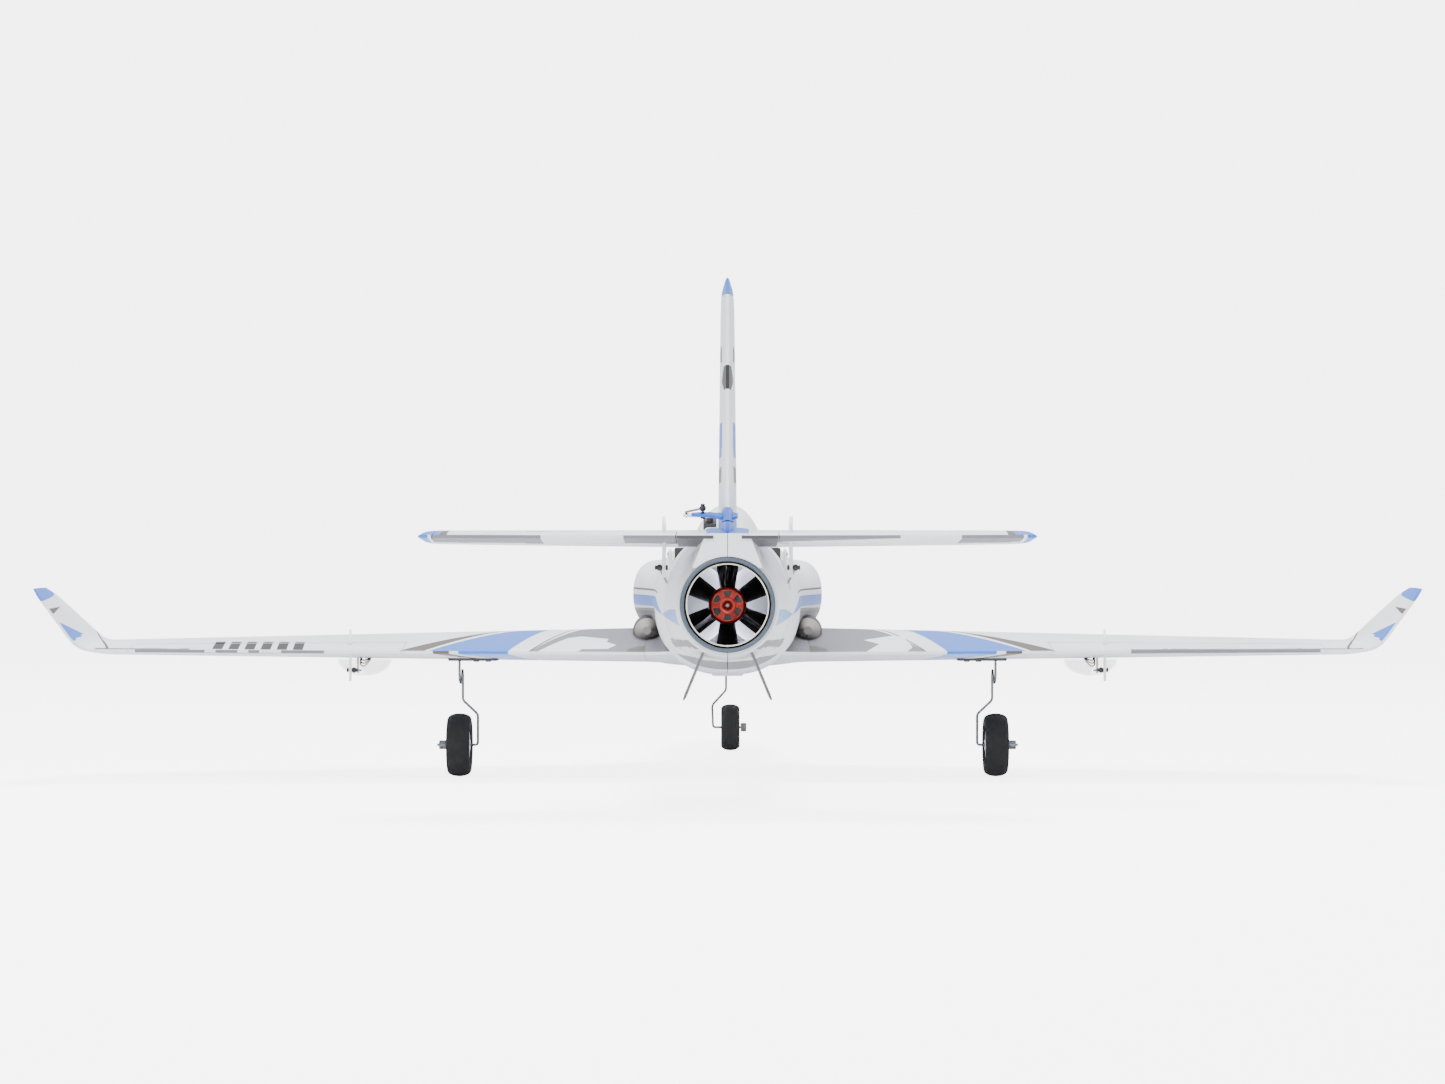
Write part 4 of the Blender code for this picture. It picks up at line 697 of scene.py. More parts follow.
def side_oval(row, power, side, count=40):
    y, centre_x, half_width, top, bottom = row
    middle, rise = (top + bottom) / 2, (top - bottom) / 2
    ring = []
    for k in range(count):
        angle = math.tau * k / count
        c, s = math.cos(angle), math.sin(angle)
        ring.append((side * centre_x + half_width * math.copysign(abs(c) ** (2 / power), c), y,
                     middle + rise * math.copysign(abs(s) ** (2 / power), s)))
    return ring


# ==== paint ========================================================================================
def outline_cuts(bm, points, plane):
    """Cut the mesh along each edge of an outline, seen along one axis: XY, YZ or XZ."""
    u, v = {"xy": (0, 1), "yz": (1, 2), "xz": (0, 2)}[plane]
    low = [min(p[k] for p in points) * MM for k in (0, 1)]
    high = [max(p[k] for p in points) * MM for k in (0, 1)]
    for a, b in zip(points, points[1:] + points[:1]):
        across = (b[1] - a[1], a[0] - b[0])
        length = math.hypot(*across)
        if length < 1e-6:
            continue
        normal = Vector((0, 0, 0))
        normal[u], normal[v] = across[0] / length, across[1] / length
        origin = Vector((0, 0, 0))
        origin[u], origin[v] = a[0] * MM, a[1] * MM
        edge_low = [min(a[k], b[k]) * MM - 1e-4 for k in (0, 1)]
        edge_high = [max(a[k], b[k]) * MM + 1e-4 for k in (0, 1)]
        near = []
        for face in bm.faces:
            us = [vert.co[u] for vert in face.verts]
            vs = [vert.co[v] for vert in face.verts]
            if max(us) >= edge_low[0] and min(us) <= edge_high[0] \
                    and max(vs) >= edge_low[1] and min(vs) <= edge_high[1]:
                near.append(face)
        geometry = set(near)
        for face in near:
            geometry.update(face.edges)
            geometry.update(face.verts)
        bmesh.ops.bisect_plane(bm, geom=list(geometry), plane_co=origin, plane_no=normal, dist=1e-6)
    return (u, v), low, high


def inside_outline(points, a, b):
    """Whether a point lies inside an outline."""
    hit = False
    for (x0, y0), (x1, y1) in zip(points, points[1:] + points[:1]):
        if (y0 > b) != (y1 > b) and a < (x1 - x0) * (b - y0) / (y1 - y0) + x0:
            hit = not hit
    return hit


def painted(item, regions):
    """Give a foam piece its colours: each region is (paint, plane, outline, test of the face normal)."""
    bm = bmesh.new()
    bm.from_mesh(item.data)
    for face in bm.faces:
        face.material_index = 0
    for paint, plane, outline, allowed in regions:
        (u, v), low, high = outline_cuts(bm, outline, plane)
        index = PAINT_ORDER.index(paint)
        for face in bm.faces:
            middle = face.calc_center_median()
            if low[0] <= middle[u] <= high[0] and low[1] <= middle[v] <= high[1] \
                    and allowed(face.normal, middle) \
                    and inside_outline(outline, middle[u] / MM, middle[v] / MM):
                face.material_index = index
    item.data.materials.clear()
    for paint in PAINT_ORDER:
        item.data.materials.append(PAINT[paint])
    bm.to_mesh(item.data)
    bm.free()
    return item


def upward(normal, _):
    return normal.z > 0.0


def downward(normal, _):
    return normal.z <= 0.0


def anywhere(_normal, _):
    return True


def side_word(side):
    return "right" if side > 0 else "left"


def mirrored(outline, side):
    return [(side * x, y) for x, y in outline]


def stepped(start, end, depth, teeth, seed):
    """Points from start to end along a ragged, square-toothed line."""
    draw = random.Random(seed)
    start, end = Vector(start), Vector(end)
    along = (end - start)
    over = Vector((-along.y, along.x)).normalized()
    points = []
    shares = [0.0] + sorted(draw.uniform(0.04, 0.96) for _ in range(teeth)) + [1.0]
    for a, b in zip(shares, shares[1:]):
        push = draw.uniform(-depth, depth)
        points.append(tuple(start + along * a + over * push))
        points.append(tuple(start + along * b + over * push))
    return points


# ==== fuselage =====================================================================================
def rounded_block(y, wide, base, top):
    """A trapezoid section with eased upper corners."""
    ring = [(-base, y, 158.0)]
    slope = math.atan2(top - 158.0, base - wide)
    radius = 3.2
    for side, order in ((-1, range(5)), (1, range(4, -1, -1))):
        for k in order:
            angle = math.pi / 2 + (math.pi / 2 - (math.pi / 2 - slope)) * (4 - k) / 4 * 0.95
            ring.append((side * (wide - radius * 0.6 - radius * math.cos(angle)), y,
                         top - radius + radius * math.sin(angle)))
    ring.append((base, y, 158.0))
    return ring


def servo_body(name, top, face, length, width, depth, grow=0.0):
    face = Vector(face).normalized()
    ahead = (Vector((0, 1, 0)) - face * face.y).normalized()
    across = face.cross(ahead)
    rings = []
    for out in (-depth - grow, grow if grow else 0.0):
        rings.append([top + face * out + ahead * a + across * b for a, b in (
            (length * 0.72 + grow, width / 2 + grow), (-length * 0.28 - grow, width / 2 + grow),
            (-length * 0.28 - grow, -width / 2 - grow), (length * 0.72 + grow, -width / 2 - grow))])
    return loft(name, rings)


def sorted_box(a, b):
    return [min(p, q) for p, q in zip(a, b)], [max(p, q) for p, q in zip(a, b)]


def elevator_pivot(side):
    hinge = panel_hinge(STAB_STATIONS, ELEVATOR_X, ELEVATOR_CHORD, side)
    centre = hinge.at_x(side * ELEVATOR_HORN_X)
    return hinge, centre, centre + Vector((side * ELEVATOR_ROD[0], ELEVATOR_ROD[1], ELEVATOR_ROD[2]))


def rudder_hinge():
    return Hinge(*[Vector((0, mixed(FIN_STATIONS, z)[2] + chord, z))
                   for z, chord in zip(RUDDER_Z, RUDDER_CHORD)])


def rudder_pivot():
    hinge = rudder_hinge()
    centre = hinge.start + hinge.axis * RUDDER_HORN_RISE
    return hinge, centre, centre + Vector(RUDDER_ROD)


def fuselage_cutters():
    """Everything that is hollow and can be seen into."""
    shapes = []
    rings = []
    for y in (BAY_Y[0], 200.0, 250.0, 300.0, 350.0, 400.0, BAY_Y[1]):
        _, wide, top, bottom, _, _ = flowing(BODY_STATIONS, y)
        floor = max(86.0, bottom + 8.0)
        rings.append(side_oval((y, 0.0, wide - 8, top - 8, floor), 2.8, 1, 48))
    shapes.append(loft("bay", rings))
    rings = []
    for y, radius in ((-128.0, 36.0), (-149.0, 36.0), (-149.4, 37.3), (-215.6, 37.3), (-560.0, 26.7)):
        share = min(max(0.0, (TUBE_FRONT_Y - y) / (TUBE_FRONT_Y - TUBE_REAR_Y)), 1.0)
        centre = FAN_Z + (NOZZLE_Z - FAN_Z) * share
        rings.append(ring_points(y, radius, centre, 96))
    shapes.append(loft("tunnel", rings))
    for side in (1, -1):
        rows = [flowing(DUCT_STATIONS, y) for y in spaced(145.0, -136.0, 14.0)]
        shapes.append(loft("duct", [side_oval(row, 2.2, side, 48) for row in rows]))
    shapes.append(turned("ring_seat", [(0, -40), (RING_OUTER_R + GAP, -40), (RING_OUTER_R + GAP, 0), (0, 0)],
                         1, (0, TAIL_FACE_Y, NOZZLE_Z), 96))
    for side in (1, -1):
        _, _, pivot = elevator_pivot(side)
        face = pivot.x - side * 1.6
        shapes.append(servo_body("seat", Vector((face, pivot.y, pivot.z)), (side, 0, 0), *SMALL_SERVO, GAP))
        shapes.append(box("recess", *sorted_box(
            (face, pivot.y - 34, pivot.z - ELEVATOR_ARM - 5), (side * 70, pivot.y + 13, pivot.z + 4.6))))
    hinge, _, pivot = rudder_pivot()
    low = pivot - hinge.axis * 3.2
    shapes.append(servo_body("seat", low, hinge.axis, *SMALL_SERVO, GAP))
    shapes.append(box("recess", (-40, low.y - 12, low.z - 0.8), (-7.5, low.y + 16, 230)))
    return union(*shapes)


def ring_points(y, radius, centre_z, count):
    return [(radius * math.sin(math.tau * k / count), y,
             centre_z + radius * math.cos(math.tau * k / count)) for k in range(count)]


def arc_line(y, thickness, low, high):
    """A thin moulded line round the body at y, between two heights."""
    return [(y, low), (y + thickness, low), (y + thickness, high), (y, high)]


def outside(normal, middle):
    """True on the body's outer skin, and not on the walls of the tunnel or the ducts."""
    if middle.x * normal.x + (middle.z - FAN_Z * MM) * normal.z <= 0:
        return False
    return abs(middle.x) > 0.045 or middle.z < 0.1 or not -0.14 < middle.y < 0.147


def fuselage_paint():
    """The colours of the body's two sides."""
    lower = stepped((200.0, 112.0), (-150.0, 113.0), 2.5, 9, 4)
    upper = stepped((-150.0, 128.5), (200.0, 127.0), 1.6, 7, 5)
    nose_low = stepped((555.0, 113.0), (330.0, 96.0), 2.0, 6, 8)
    nose_high = stepped((330.0, 112.0), (555.0, 117.0), 1.5, 4, 9)
    rows = [
        ("grey", "yz", lower + upper, outside),
        ("stone", "yz", [(196.0, 127.0), (60.0, 124.5), (-140.0, 125.5), (-140.0, 127.5), (60.0, 127.5)], outside),
        ("grey", "yz", nose_low + nose_high, outside),
        ("blue", "yz", [(552.0, 121.0), (400.0, 125.5), (240.0, 130.5), (60.0, 132.0), (-200.0, 129.5),
                        (-330.0, 127.0), (-330.0, 128.5), (-200.0, 138.0), (60.0, 140.3), (240.0, 138.5),
                        (400.0, 133.5)], outside),
        ("stone", "yz", [(470.0, 138.0), (240.0, 143.0), (60.0, 144.2), (-240.0, 141.0), (-240.0, 142.2),
                         (60.0, 145.8), (240.0, 144.6)], outside),
        ("sky", "yz", [(-340.0, 127.0), (-519.0, 121.0), (-519.0, 131.5), (-450.0, 131.0)], outside),
        ("grey", "yz", stepped((-250.0, 83.0), (-420.0, 92.5), 1.5, 6, 11)
         + stepped((-420.0, 97.0), (-250.0, 98.0), 1.5, 5, 12), outside),
        ("blue", "xy", [(-15.5, -552.0), (15.5, -552.0), (15.5, -500.0), (5.0, -440.0), (-5.0, -440.0),
                        (-15.5, -500.0)], lambda normal, middle: normal.z > 0.8 and middle.z > 0.176),
    ]
    for y, low, high in ((-391.0, 98.0, 131.0), (-262.0, 96.0, 106.0),
                         (-300.0, 98.0, 108.0), (-468.0, 90.0, 103.0)):
        rows.append(("ink", "yz", arc_line(y, 3.0, low, high), outside))
    rows.append(("grey", "yz", stepped((-330.0, 103.0), (-512.0, 107.0), 1.6, 7, 13)
                 + stepped((-512.0, 111.0), (-330.0, 109.5), 1.6, 6, 14), outside))
    rows.append(("ink", "yz", arc_line(-141.5, 1.0, 106.0, 122.0), outside))
    for side in (1, -1):
        rows.append(("grey", "xy", mirrored([(40.0, 70.0), (63.0, 58.0), (63.0, -175.0), (40.0, -175.0)], side),
                     lambda normal, middle: normal.z > 0.25 and middle.z < 0.1185))
    return rows


# station and share of full size of the fairing between cheek and wing root
ROOT_BULGE = [(-92.0 + 11.0 * k, math.sqrt(1 - ((k - 5) / 5.2)**2)) for k in range(11)]


def fuselage():
    ys = spaced(NOSE_JOINT_Y - GAP, 142.0, 5.0) + [138.6, 138.01, 138.0, 137.7, 137.0, 136.0, 134.5, 133.0]
    ys += spaced(130.0, TAIL_FACE_Y, 5.0)
    form = fuselage_loft("form", ys)
    extras = [loft("block", [
        rounded_block(*flowing(TAIL_BLOCK_STATIONS, y)) for y in spaced(-547.0, -342.0, 10.0)])]
    for side in (1, -1):
        rows = [flowing(STUB_STATIONS, x) for x in spaced(22.0, 61.7, 2.6)]
        extras.append(loft("stub", [foil_ring(row, side) for row in rows]))
    union(form, gathered(extras))
    low, high = (-70, HATCH_Y[0], HATCH_FLOOR_Z), (70, HATCH_Y[1], 240)
    hatch = copy_of(form, "hatch_shell")
    combine(hatch, box("zone", low, high), "INTERSECT")
    cutters = union(fuselage_cutters(), box("zone", [v - GAP for v in low], [v + GAP for v in high]))
    cut_away(form, cutters)
    for side, word in ((1, "right"), (-1, "left")):
        half = copy_of(form, "fuselage_" + word + "_shell")
        combine(half, box("half", *sorted_box((side * 0.22, -600, 0), (side * 130, 600, 260))), "INTERSECT")
        painted(half, fuselage_paint())
        finish(half, None, "airframe", ["fuselage_" + word], 26.0)
    bpy.data.objects.remove(form)

    for side, word in ((1, "right"), (-1, "left")):
        for name, grow, ahead, paint in (("root_bulge_", 0.0, 0.0, FAIRING), ("root_seam_", 0.7, 6.0, BLACK)):
            rings = [side_oval((y + ahead, side * 61.5, 11.5 * k + grow,
                                112.5 + 10.5 * k + grow, 112.5 - 12.0 * k - grow),
                               2.0, 1, 48) for y, k in ROOT_BULGE]
            finish(loft(name + word, rings), paint, "airframe")

    canopy = copy_of(hatch, "canopy_bubble")
    combine(canopy, box("zone", (-60, CANOPY_Y[0] + GAP, CANOPY_SILL_Z + GAP),
                        (60, CANOPY_Y[1], 240)), "INTERSECT")
    rings = []
    for y in spaced(CANOPY_Y[0] + 2.0, CANOPY_Y[1] - 8.0, 8.0):
        _, half, crown = flowing(HUMP_STATIONS, y)
        rings.append(side_oval((y, 0.0, max(half - 1.6, 1.5), crown - 1.6, 150.0), 2.0, 1, 64))
    cut_away(canopy, loft("inside", rings))
    finish(canopy, SMOKE, "hatch", ["canopy"])
    cut_away(hatch, box("zone", (-60, CANOPY_Y[0], CANOPY_SILL_Z), (60, CANOPY_Y[1], 240)))
    rings = []
    for y in spaced(HATCH_Y[0] + 7, HATCH_Y[1] - 7, 20.0):
        _, wide, top, bottom, _, _ = flowing(BODY_STATIONS, y)
        rings.append(side_oval((y, 0.0, wide - 7, top - 7, bottom + 7), 2.3, 1, 64))
    cut_away(hatch, loft("inner", rings))
    painted(hatch, [
        ("ink", "xy", [(-40, CANOPY_Y[0] + 3), (40, CANOPY_Y[0] + 3),
                       (40, CANOPY_Y[1] - 3), (-40, CANOPY_Y[1] - 3)],
         lambda normal, middle: normal.z > 0.9 and middle.z < 0.1862),
        ("stone", "xy", [(-3.2, 150), (3.2, 150), (3.2, 196), (-3.2, 196)], upward),
        ("blue", "xy", [(-24, 398), (24, 398), (9, 330), (-9, 330)],
         lambda normal, middle: normal.z > 0.2 and middle.y > 0.3885),
    ])
    finish(hatch, None, "hatch", ["hatch"], 26.0)

    nose = fuselage_loft("nose_shell", spaced(NOSE_JOINT_Y, 545.0, 4.0) + spaced(547.0, 564.0, 2.0)
                         + [566.0, 567.5, 568.8, 569.5, 570.0])
    painted(nose, fuselage_paint()[2:5] + [
        ("ink", "xz", [(-30, 90), (30, 90), (30, 150), (-30, 150)], lambda normal, middle: middle.y > 0.5635)])
    finish(nose, None, "airframe", ["nose_cone"], 30.0)


# ==== fan and exhaust ==============================================================================
def fan_parts():
    fan = Vector((0, 0, FAN_Z))
    housing = turned("fan_shroud", [
        (SHROUD_INNER_R, FAN_FRONT_Y - 1.2), (SHROUD_INNER_R + 0.8, FAN_FRONT_Y), (SHROUD_OUTER_R, FAN_FRONT_Y),
        (SHROUD_OUTER_R, FAN_REAR_Y), (SHROUD_INNER_R + 0.5, FAN_REAR_Y), (SHROUD_INNER_R, FAN_REAR_Y + 0.8)],
        1, fan, 128)
    hub = turned("hub", [(SHAFT_R + GAP, -181.5), (HUB_R - 0.6, -181.5), (HUB_R, -182.4), (HUB_R, -211.2),
                         (13.75, -212.0), (13.5, -211.8), (13.5, -184.5), (SHAFT_R + GAP, -184.5)], 1, fan, 96)
    vanes = []
    for angle in (90.0, 215.0, 325.0):
        out = Vector((math.cos(math.radians(angle)), 0, math.sin(math.radians(angle))))
        over = out.cross(Vector((0, 1, 0)))
        rings = []
        for radius in spaced(HUB_R - 0.3, SHROUD_INNER_R + 0.6, 4.0):
            flare = 1.0 + 0.5 * max(0.0, 1 - (radius - HUB_R) / 5.0)
            ring = []
            for c, half in ((0.0, 0.0), (0.04, 0.7), (0.15, 1.15), (0.4, 1.4), (0.7, 1.1), (1.0, 0.35)):
                ring.append((c, half))
            ring += [(c, -half) for c, half in reversed(ring[1:])]
            rings.append([fan + out * radius + over * ((h * flare) + 1.6 * c * c) + Vector((0, -187 - 24 * c, 0))
                          for c, h in ring])
        vanes.append(loft("vane", rings))
    union(housing, hub, *vanes)
    finish(housing, HOUSING, "airframe", ["fan_housing"], 40.0)

    profile = [(SHAFT_R + GAP, -178.5), (ROTOR_HUB_R, -178.5), (ROTOR_HUB_R, -160.0)]
    for k in range(1, 12):
        angle = k / 12 * math.pi / 2
        profile.append((ROTOR_HUB_R * math.cos(angle), -160.0 + 24.0 * math.sin(angle)))
    profile += [(0.0, -136.0), (0.0, -150.0), (SHAFT_R + GAP, -150.0)]
    rotor = turned("rotor_hub", profile, 1, fan, 72)
    blades = []
    for k in range(BLADES):
        angle = math.radians(90 + 60 * k)
        out = Vector((math.cos(angle), 0, math.sin(angle)))
        over = out.cross(Vector((0, 1, 0)))
        rings = []
        for step in range(9):
            share = step / 8
            radius = ROTOR_HUB_R - 0.6 + (BLADE_TIP_R - ROTOR_HUB_R + 0.6) * share
            half = 7.5 + 2.1 * share
            tilt = math.radians(46 + 19 * share**0.8)
            along = over * math.sin(tilt) + Vector((0, 1, 0)) * math.cos(tilt)
            skin = over * math.cos(tilt) - Vector((0, 1, 0)) * math.sin(tilt)
            ring = []
            for upper in (1, -1):
                for j in range(10):
                    t = j / 10
                    c = t if upper > 0 else 1 - t
                    camber = 1.1 * 4 * c * (1 - c) * (1 - 0.3 * share)
                    thick = 0.8 * foil_shape(c) * (1.25 - 0.55 * share) + 0.12
                    offset = along * half * (1 - 2 * c) + skin * (camber + upper * thick)
                    across = offset.dot(over)
                    ring.append(fan + Vector((0, -168.5 + offset.y, 0)) + over * across
                                + out * math.sqrt(radius**2 - across**2))
            rings.append(ring)
        blades.append(loft("blade", rings))
    union(rotor, *blades)
    finish(rotor, FAN, "fan", ["fan_rotor"], 38.0)

    back = BELL_Y[0]
    bell = turned("motor_bell", [
        (0.0, back - 1.6), (2.6, back - 1.6), (3.0, back - 1.3), (3.0, back - 0.6),
        (5.4, back - 0.5), (5.8, back),
        (11.4, back), (12.3, back + 0.3), (12.9, back + 1.0), (BELL_R, back + 1.9), (BELL_R, back + 16.0),
        (12.8, back + 16.4), (12.8, back + 17.4), (BELL_R, back + 17.8), (BELL_R, BELL_Y[1]), (4.0, BELL_Y[1]),
        (4.0, back + 6.0), (0.0, back + 6.0)], 1, fan, 96)
    tools = []
    for k in range(BLADES):
        centre = math.radians(30 + 60 * k)
        half = math.radians(19)
        outline = []
        for radius, order in ((10.9, range(-4, 5)), (6.9, range(4, -5, -1))):
            for j in order:
                a = centre + half * j / 4 * (1.0 if radius > 9 else 0.8)
                outline.append((radius * math.cos(a), radius * math.sin(a)))
        tools.append(loft("vent", [[(x, y, FAN_Z + z) for x, z in outline] for y in (back - 4.0, back + 12.0)]))
    cut_away(bell, gathered(tools))
    soften(bell, 0.25, 50.0)
    finish(bell, RED, "fan", ["motor"], 40.0)
    shaft = rod_between("motor_shaft", fan + Vector((0, back - 2.0, 0)),
                        fan + Vector((0, -152.0, 0)), 1.6, 24, 0.2)
    finish(shaft, STEEL, "fan")
    cup = turned("motor_stator", [(3.9, back + 8.2), (12.2, back + 8.2),
                                  (12.2, back + 30.0), (3.9, back + 30.0)],
                 1, fan, 48)
    finish(cup, BLACK, "fan")
    for k, x in enumerate((-3.2, 0.4, 4.0)):
        path = curved([(x, -210.0, FAN_Z + 13.2), (x * 1.1 - 0.6, -214.5, FAN_Z + 19.0),
                       (x * 1.2 + 0.5, -214.0, FAN_Z + 27.0), (x * 1.3, -211.0, FAN_Z + 35.0)], 6)
        finish(wire("motor_wire_" + str(k + 1), path, 1.5, 12), BLACK, "airframe")

    outer = []
    for y in spaced(TUBE_FRONT_Y, TUBE_REAR_Y, 14.0):
        share = (TUBE_FRONT_Y - y) / (TUBE_FRONT_Y - TUBE_REAR_Y)
        outer.append((y, TUBE_FRONT_R + (TUBE_REAR_R - TUBE_FRONT_R) * share,
                      FAN_Z + (NOZZLE_Z - FAN_Z) * share))
    inner = [(y, radius - 0.8, centre) for y, radius, centre in outer]
    rings = [ring_points(*row, 96) for row in outer] + [ring_points(*row, 96) for row in reversed(inner)]
    bm = bmesh.new()
    loops = [[bm.verts.new(point) for point in ring] for ring in rings]
    for near, far in zip(loops, loops[1:] + loops[:1]):
        for i in range(96):
            j = (i + 1) % 96
            bm.faces.new((near[i], near[j], far[j], far[i]))
    finish(add_object("exhaust_tube", bm), TUBE, "airframe", ["thrust_tube"], 40.0)

    seam = rod_between("exhaust_tube_seam", (0, TUBE_FRONT_Y - 4, FAN_Z - 35.6),
                       (0, -538, NOZZLE_Z - 25.75), 0.35, 8)
    finish(seam, TUBE, "airframe")
    rounded = []
    for k in range(9):
        angle = math.pi * k / 8
        rounded.append((29.0 - 1.4 * math.cos(angle), RING_Y[0] + 1.2 - 1.2 * math.sin(angle)))
    nozzle = turned("nozzle_lip", rounded + [(RING_OUTER_R, RING_Y[1]), (RING_INNER_R, RING_Y[1])],
                    1, (0, 0, NOZZLE_Z), 128)
    finish(nozzle, SLATE, "airframe", ["nozzle_ring"], 40.0)


# ==== wing =========================================================================================
def wing_servo(side):
    hinge = panel_hinge(WING_STATIONS, AILERON_X, AILERON_CHORD, side)
    centre = hinge.at_x(side * AILERON_HORN_X)
    return hinge, centre, centre + Vector((side * AILERON_ROD[0], AILERON_ROD[1], AILERON_ROD[2]))


def wing_servo_box(axis, side, grow):
    face = axis.x - side * 3.0
    low = (face - side * (22.0 + grow), axis.y - 23.0 * 0.28 - grow, axis.z - 6.0 - (12 if grow else 0))
    high = (face + side * (8.0 if grow else 0.0), axis.y + 23.0 * 0.72 + grow, axis.z + 6.0 + grow)
    return sorted_box(low, high)


def gear_mount_box(side, grow):
    low_z = skin_z(WING_STATIONS, MAIN_X - 12, MAIN_Y, False)
    return sorted_box((side * (MAIN_X - 30 - grow), MAIN_Y - 12 - grow, low_z - 1.5 - (10 if grow else 0)),
                      (side * (MAIN_X + 8 + grow), MAIN_Y + 12 + grow, low_z + 8.5 + grow))


def wing_paint(side):
    """The colours of a wing panel and its aileron."""
    camo_front = stepped((58.0, 62.0), (112.0, 30.0), 5.0, 5, 21)
    rows = [
        ("grey", camo_front + [(151.0, -170.0), (58.0, -170.0)]),
        ("stone", [(58.0, -118.0), (66.0, -122.0), (74.0, -134.0), (78.0, -170.0), (58.0, -170.0)]),
        ("white", [(118.0, 20.0), (151.0, -170.0), (156.0, -170.0), (125.0, 40.0)]),
        ("stone", [(112.5, 40.0), (150.0, -170.0), (151.6, -170.0), (114.5, 40.0)]),
        ("blue", [(126.5, 96.0), (166.0, -170.0), (228.0, -170.0), (128.5, 92.0)]),
        ("stone", [(163.0, 24.0), (231.0, -170.0), (251.0, -170.0), (166.0, 14.0)]),
    ]
    if side > 0:
        rows.append(("white", [(104.0, -90.0), (128.0, -60.0), (135.0, -68.0), (139.0, -132.0), (130.0, -170.0),
                               (98.0, -170.0), (115.0, -114.0)]))
        rows.append(("grey", stepped((300.0, -152.5), (472.0, -158.0), 1.6, 12, 31)
                             + [(472.0, -180.0), (300.0, -180.0)]))
    else:
        rows.append(("white", [(146.0, -170.0), (122.0, -77.0), (112.0, -66.0), (91.0, -83.0), (92.0, -101.0),
                               (84.0, -117.0), (90.0, -137.0), (109.0, -139.0), (116.0, -170.0)]))
        rows.append(("grey", stepped((400.0, -155.5), (470.0, -158.0), 1.6, 5, 32)
                             + [(470.0, -180.0), (400.0, -180.0)]))
        for k in range(6):
            x = 316.0 + 12.0 * k
            rows.append(("ink", [(x, -158.0), (x + 7.5, -158.0), (x + 11.5, -108.0), (x + 4.0, -108.0)]))
    rows.append(("stone", [(487.0, -60.0), (474.0, -100.0), (462.0, -150.0), (458.0, -175.0), (460.0, -175.0),
                           (464.0, -150.0), (476.0, -100.0), (489.0, -60.0)]))
    result = [(paint, "xy", mirrored(outline, side), upward) for paint, outline in rows]
    under = [
        ("blue", [(126.5, 96.0), (166.0, -170.0), (205.0, -170.0), (128.5, 92.0)]),
        ("stone", [(163.0, 24.0), (211.0, -170.0), (224.0, -170.0), (166.0, 14.0)]),
        ("grey", stepped((300.0, -150.0), (440.0, -157.0), 3.0, 9, 33) + [(440.0, -180.0), (300.0, -180.0)]),
    ]
    result += [(paint, "xy", mirrored(outline, side), downward) for paint, outline in under]
    return result


def winglet_paint():
    rows = [
        ("blue", "yz", [(-200.0, 134.0), (-200.0, 150.0), (-110.0, 150.0), (-150.0, 139.0)], upward),
        ("stone", "yz", [(-200.0, 122.5), (-200.0, 129.0), (-150.0, 131.0)], upward),
        ("blue", "yz", [(-200.0, 103.5), (-200.0, 119.0), (-178.0, 119.5), (-96.0, 103.5)], upward),
        ("blue", "yz", [(-200.0, 134.0), (-200.0, 150.0), (-110.0, 150.0), (-150.0, 139.0)], downward),
    ]
    return [(paint, plane, outline,
             lambda normal, middle, test=test: abs(middle.x) > 0.484 and test(normal, middle))
            for paint, plane, outline, test in rows]


def wing(side):
    word = side_word(side)
    hinge, centre, pivot = wing_servo(side)
    panel = loft("wing_" + word + "_panel", [
        foil_ring(row, side) for row in panel_rows(WING_STATIONS, 468.0, 7.0, 42)])
    front = []
    for x in (AILERON_X[0] - 0.5, AILERON_X[1] + 0.5):
        y = hinge.at_x(side * x).y
        half = (skin_z(WING_STATIONS, x, y, True) - skin_z(WING_STATIONS, x, y, False)) / 2
        front.append((x, y + half + 0.5))
    (x0, y0), (x1, y1) = front
    tools = [loft("aileron_bay", [[(side * x, y, z) for x, y in (
        (x0, y0), (x1, y1), (x1, -230.0), (x0, -230.0))] for z in (70.0, 130.0)])]
    tools.append(box("horn_notch", *sorted_box((side * (AILERON_HORN_X - 3), centre.y, 80),
                                               (side * (AILERON_HORN_X + 3), centre.y + 13, 97))))
    for tool in (union(*tools), box("servo_bay", *wing_servo_box(pivot, side, GAP)),
                 box("gear_bay", *gear_mount_box(side, GAP))):
        cut_away(panel, tool)
    painted(panel, wing_paint(side) + winglet_paint())
    finish(panel, None, "airframe", ["wing_" + word], 30.0)

    xs = spaced(AILERON_X[0], AILERON_X[1], 8.0)
    aileron = loft("aileron_" + word + "_panel", [
        surface_ring(WING_STATIONS, x, hinge.at_x(side * x).y, side) for x in xs])
    horn_slot(aileron, hinge, side * AILERON_HORN_X, 12.0)
    painted(aileron, wing_paint(side))
    finish(aileron, None, "aileron_" + word, ["aileron_" + word], 30.0)


def horn_slot(item, hinge, x, length):
    outline = [(1.8, -20), (1.8, 20), (-length - GAP, 20), (-length - GAP, -20)]
    cut_away(item, plate("horn_slot", outline, hinge.place_from(hinge.at_x(x)), 2.4))


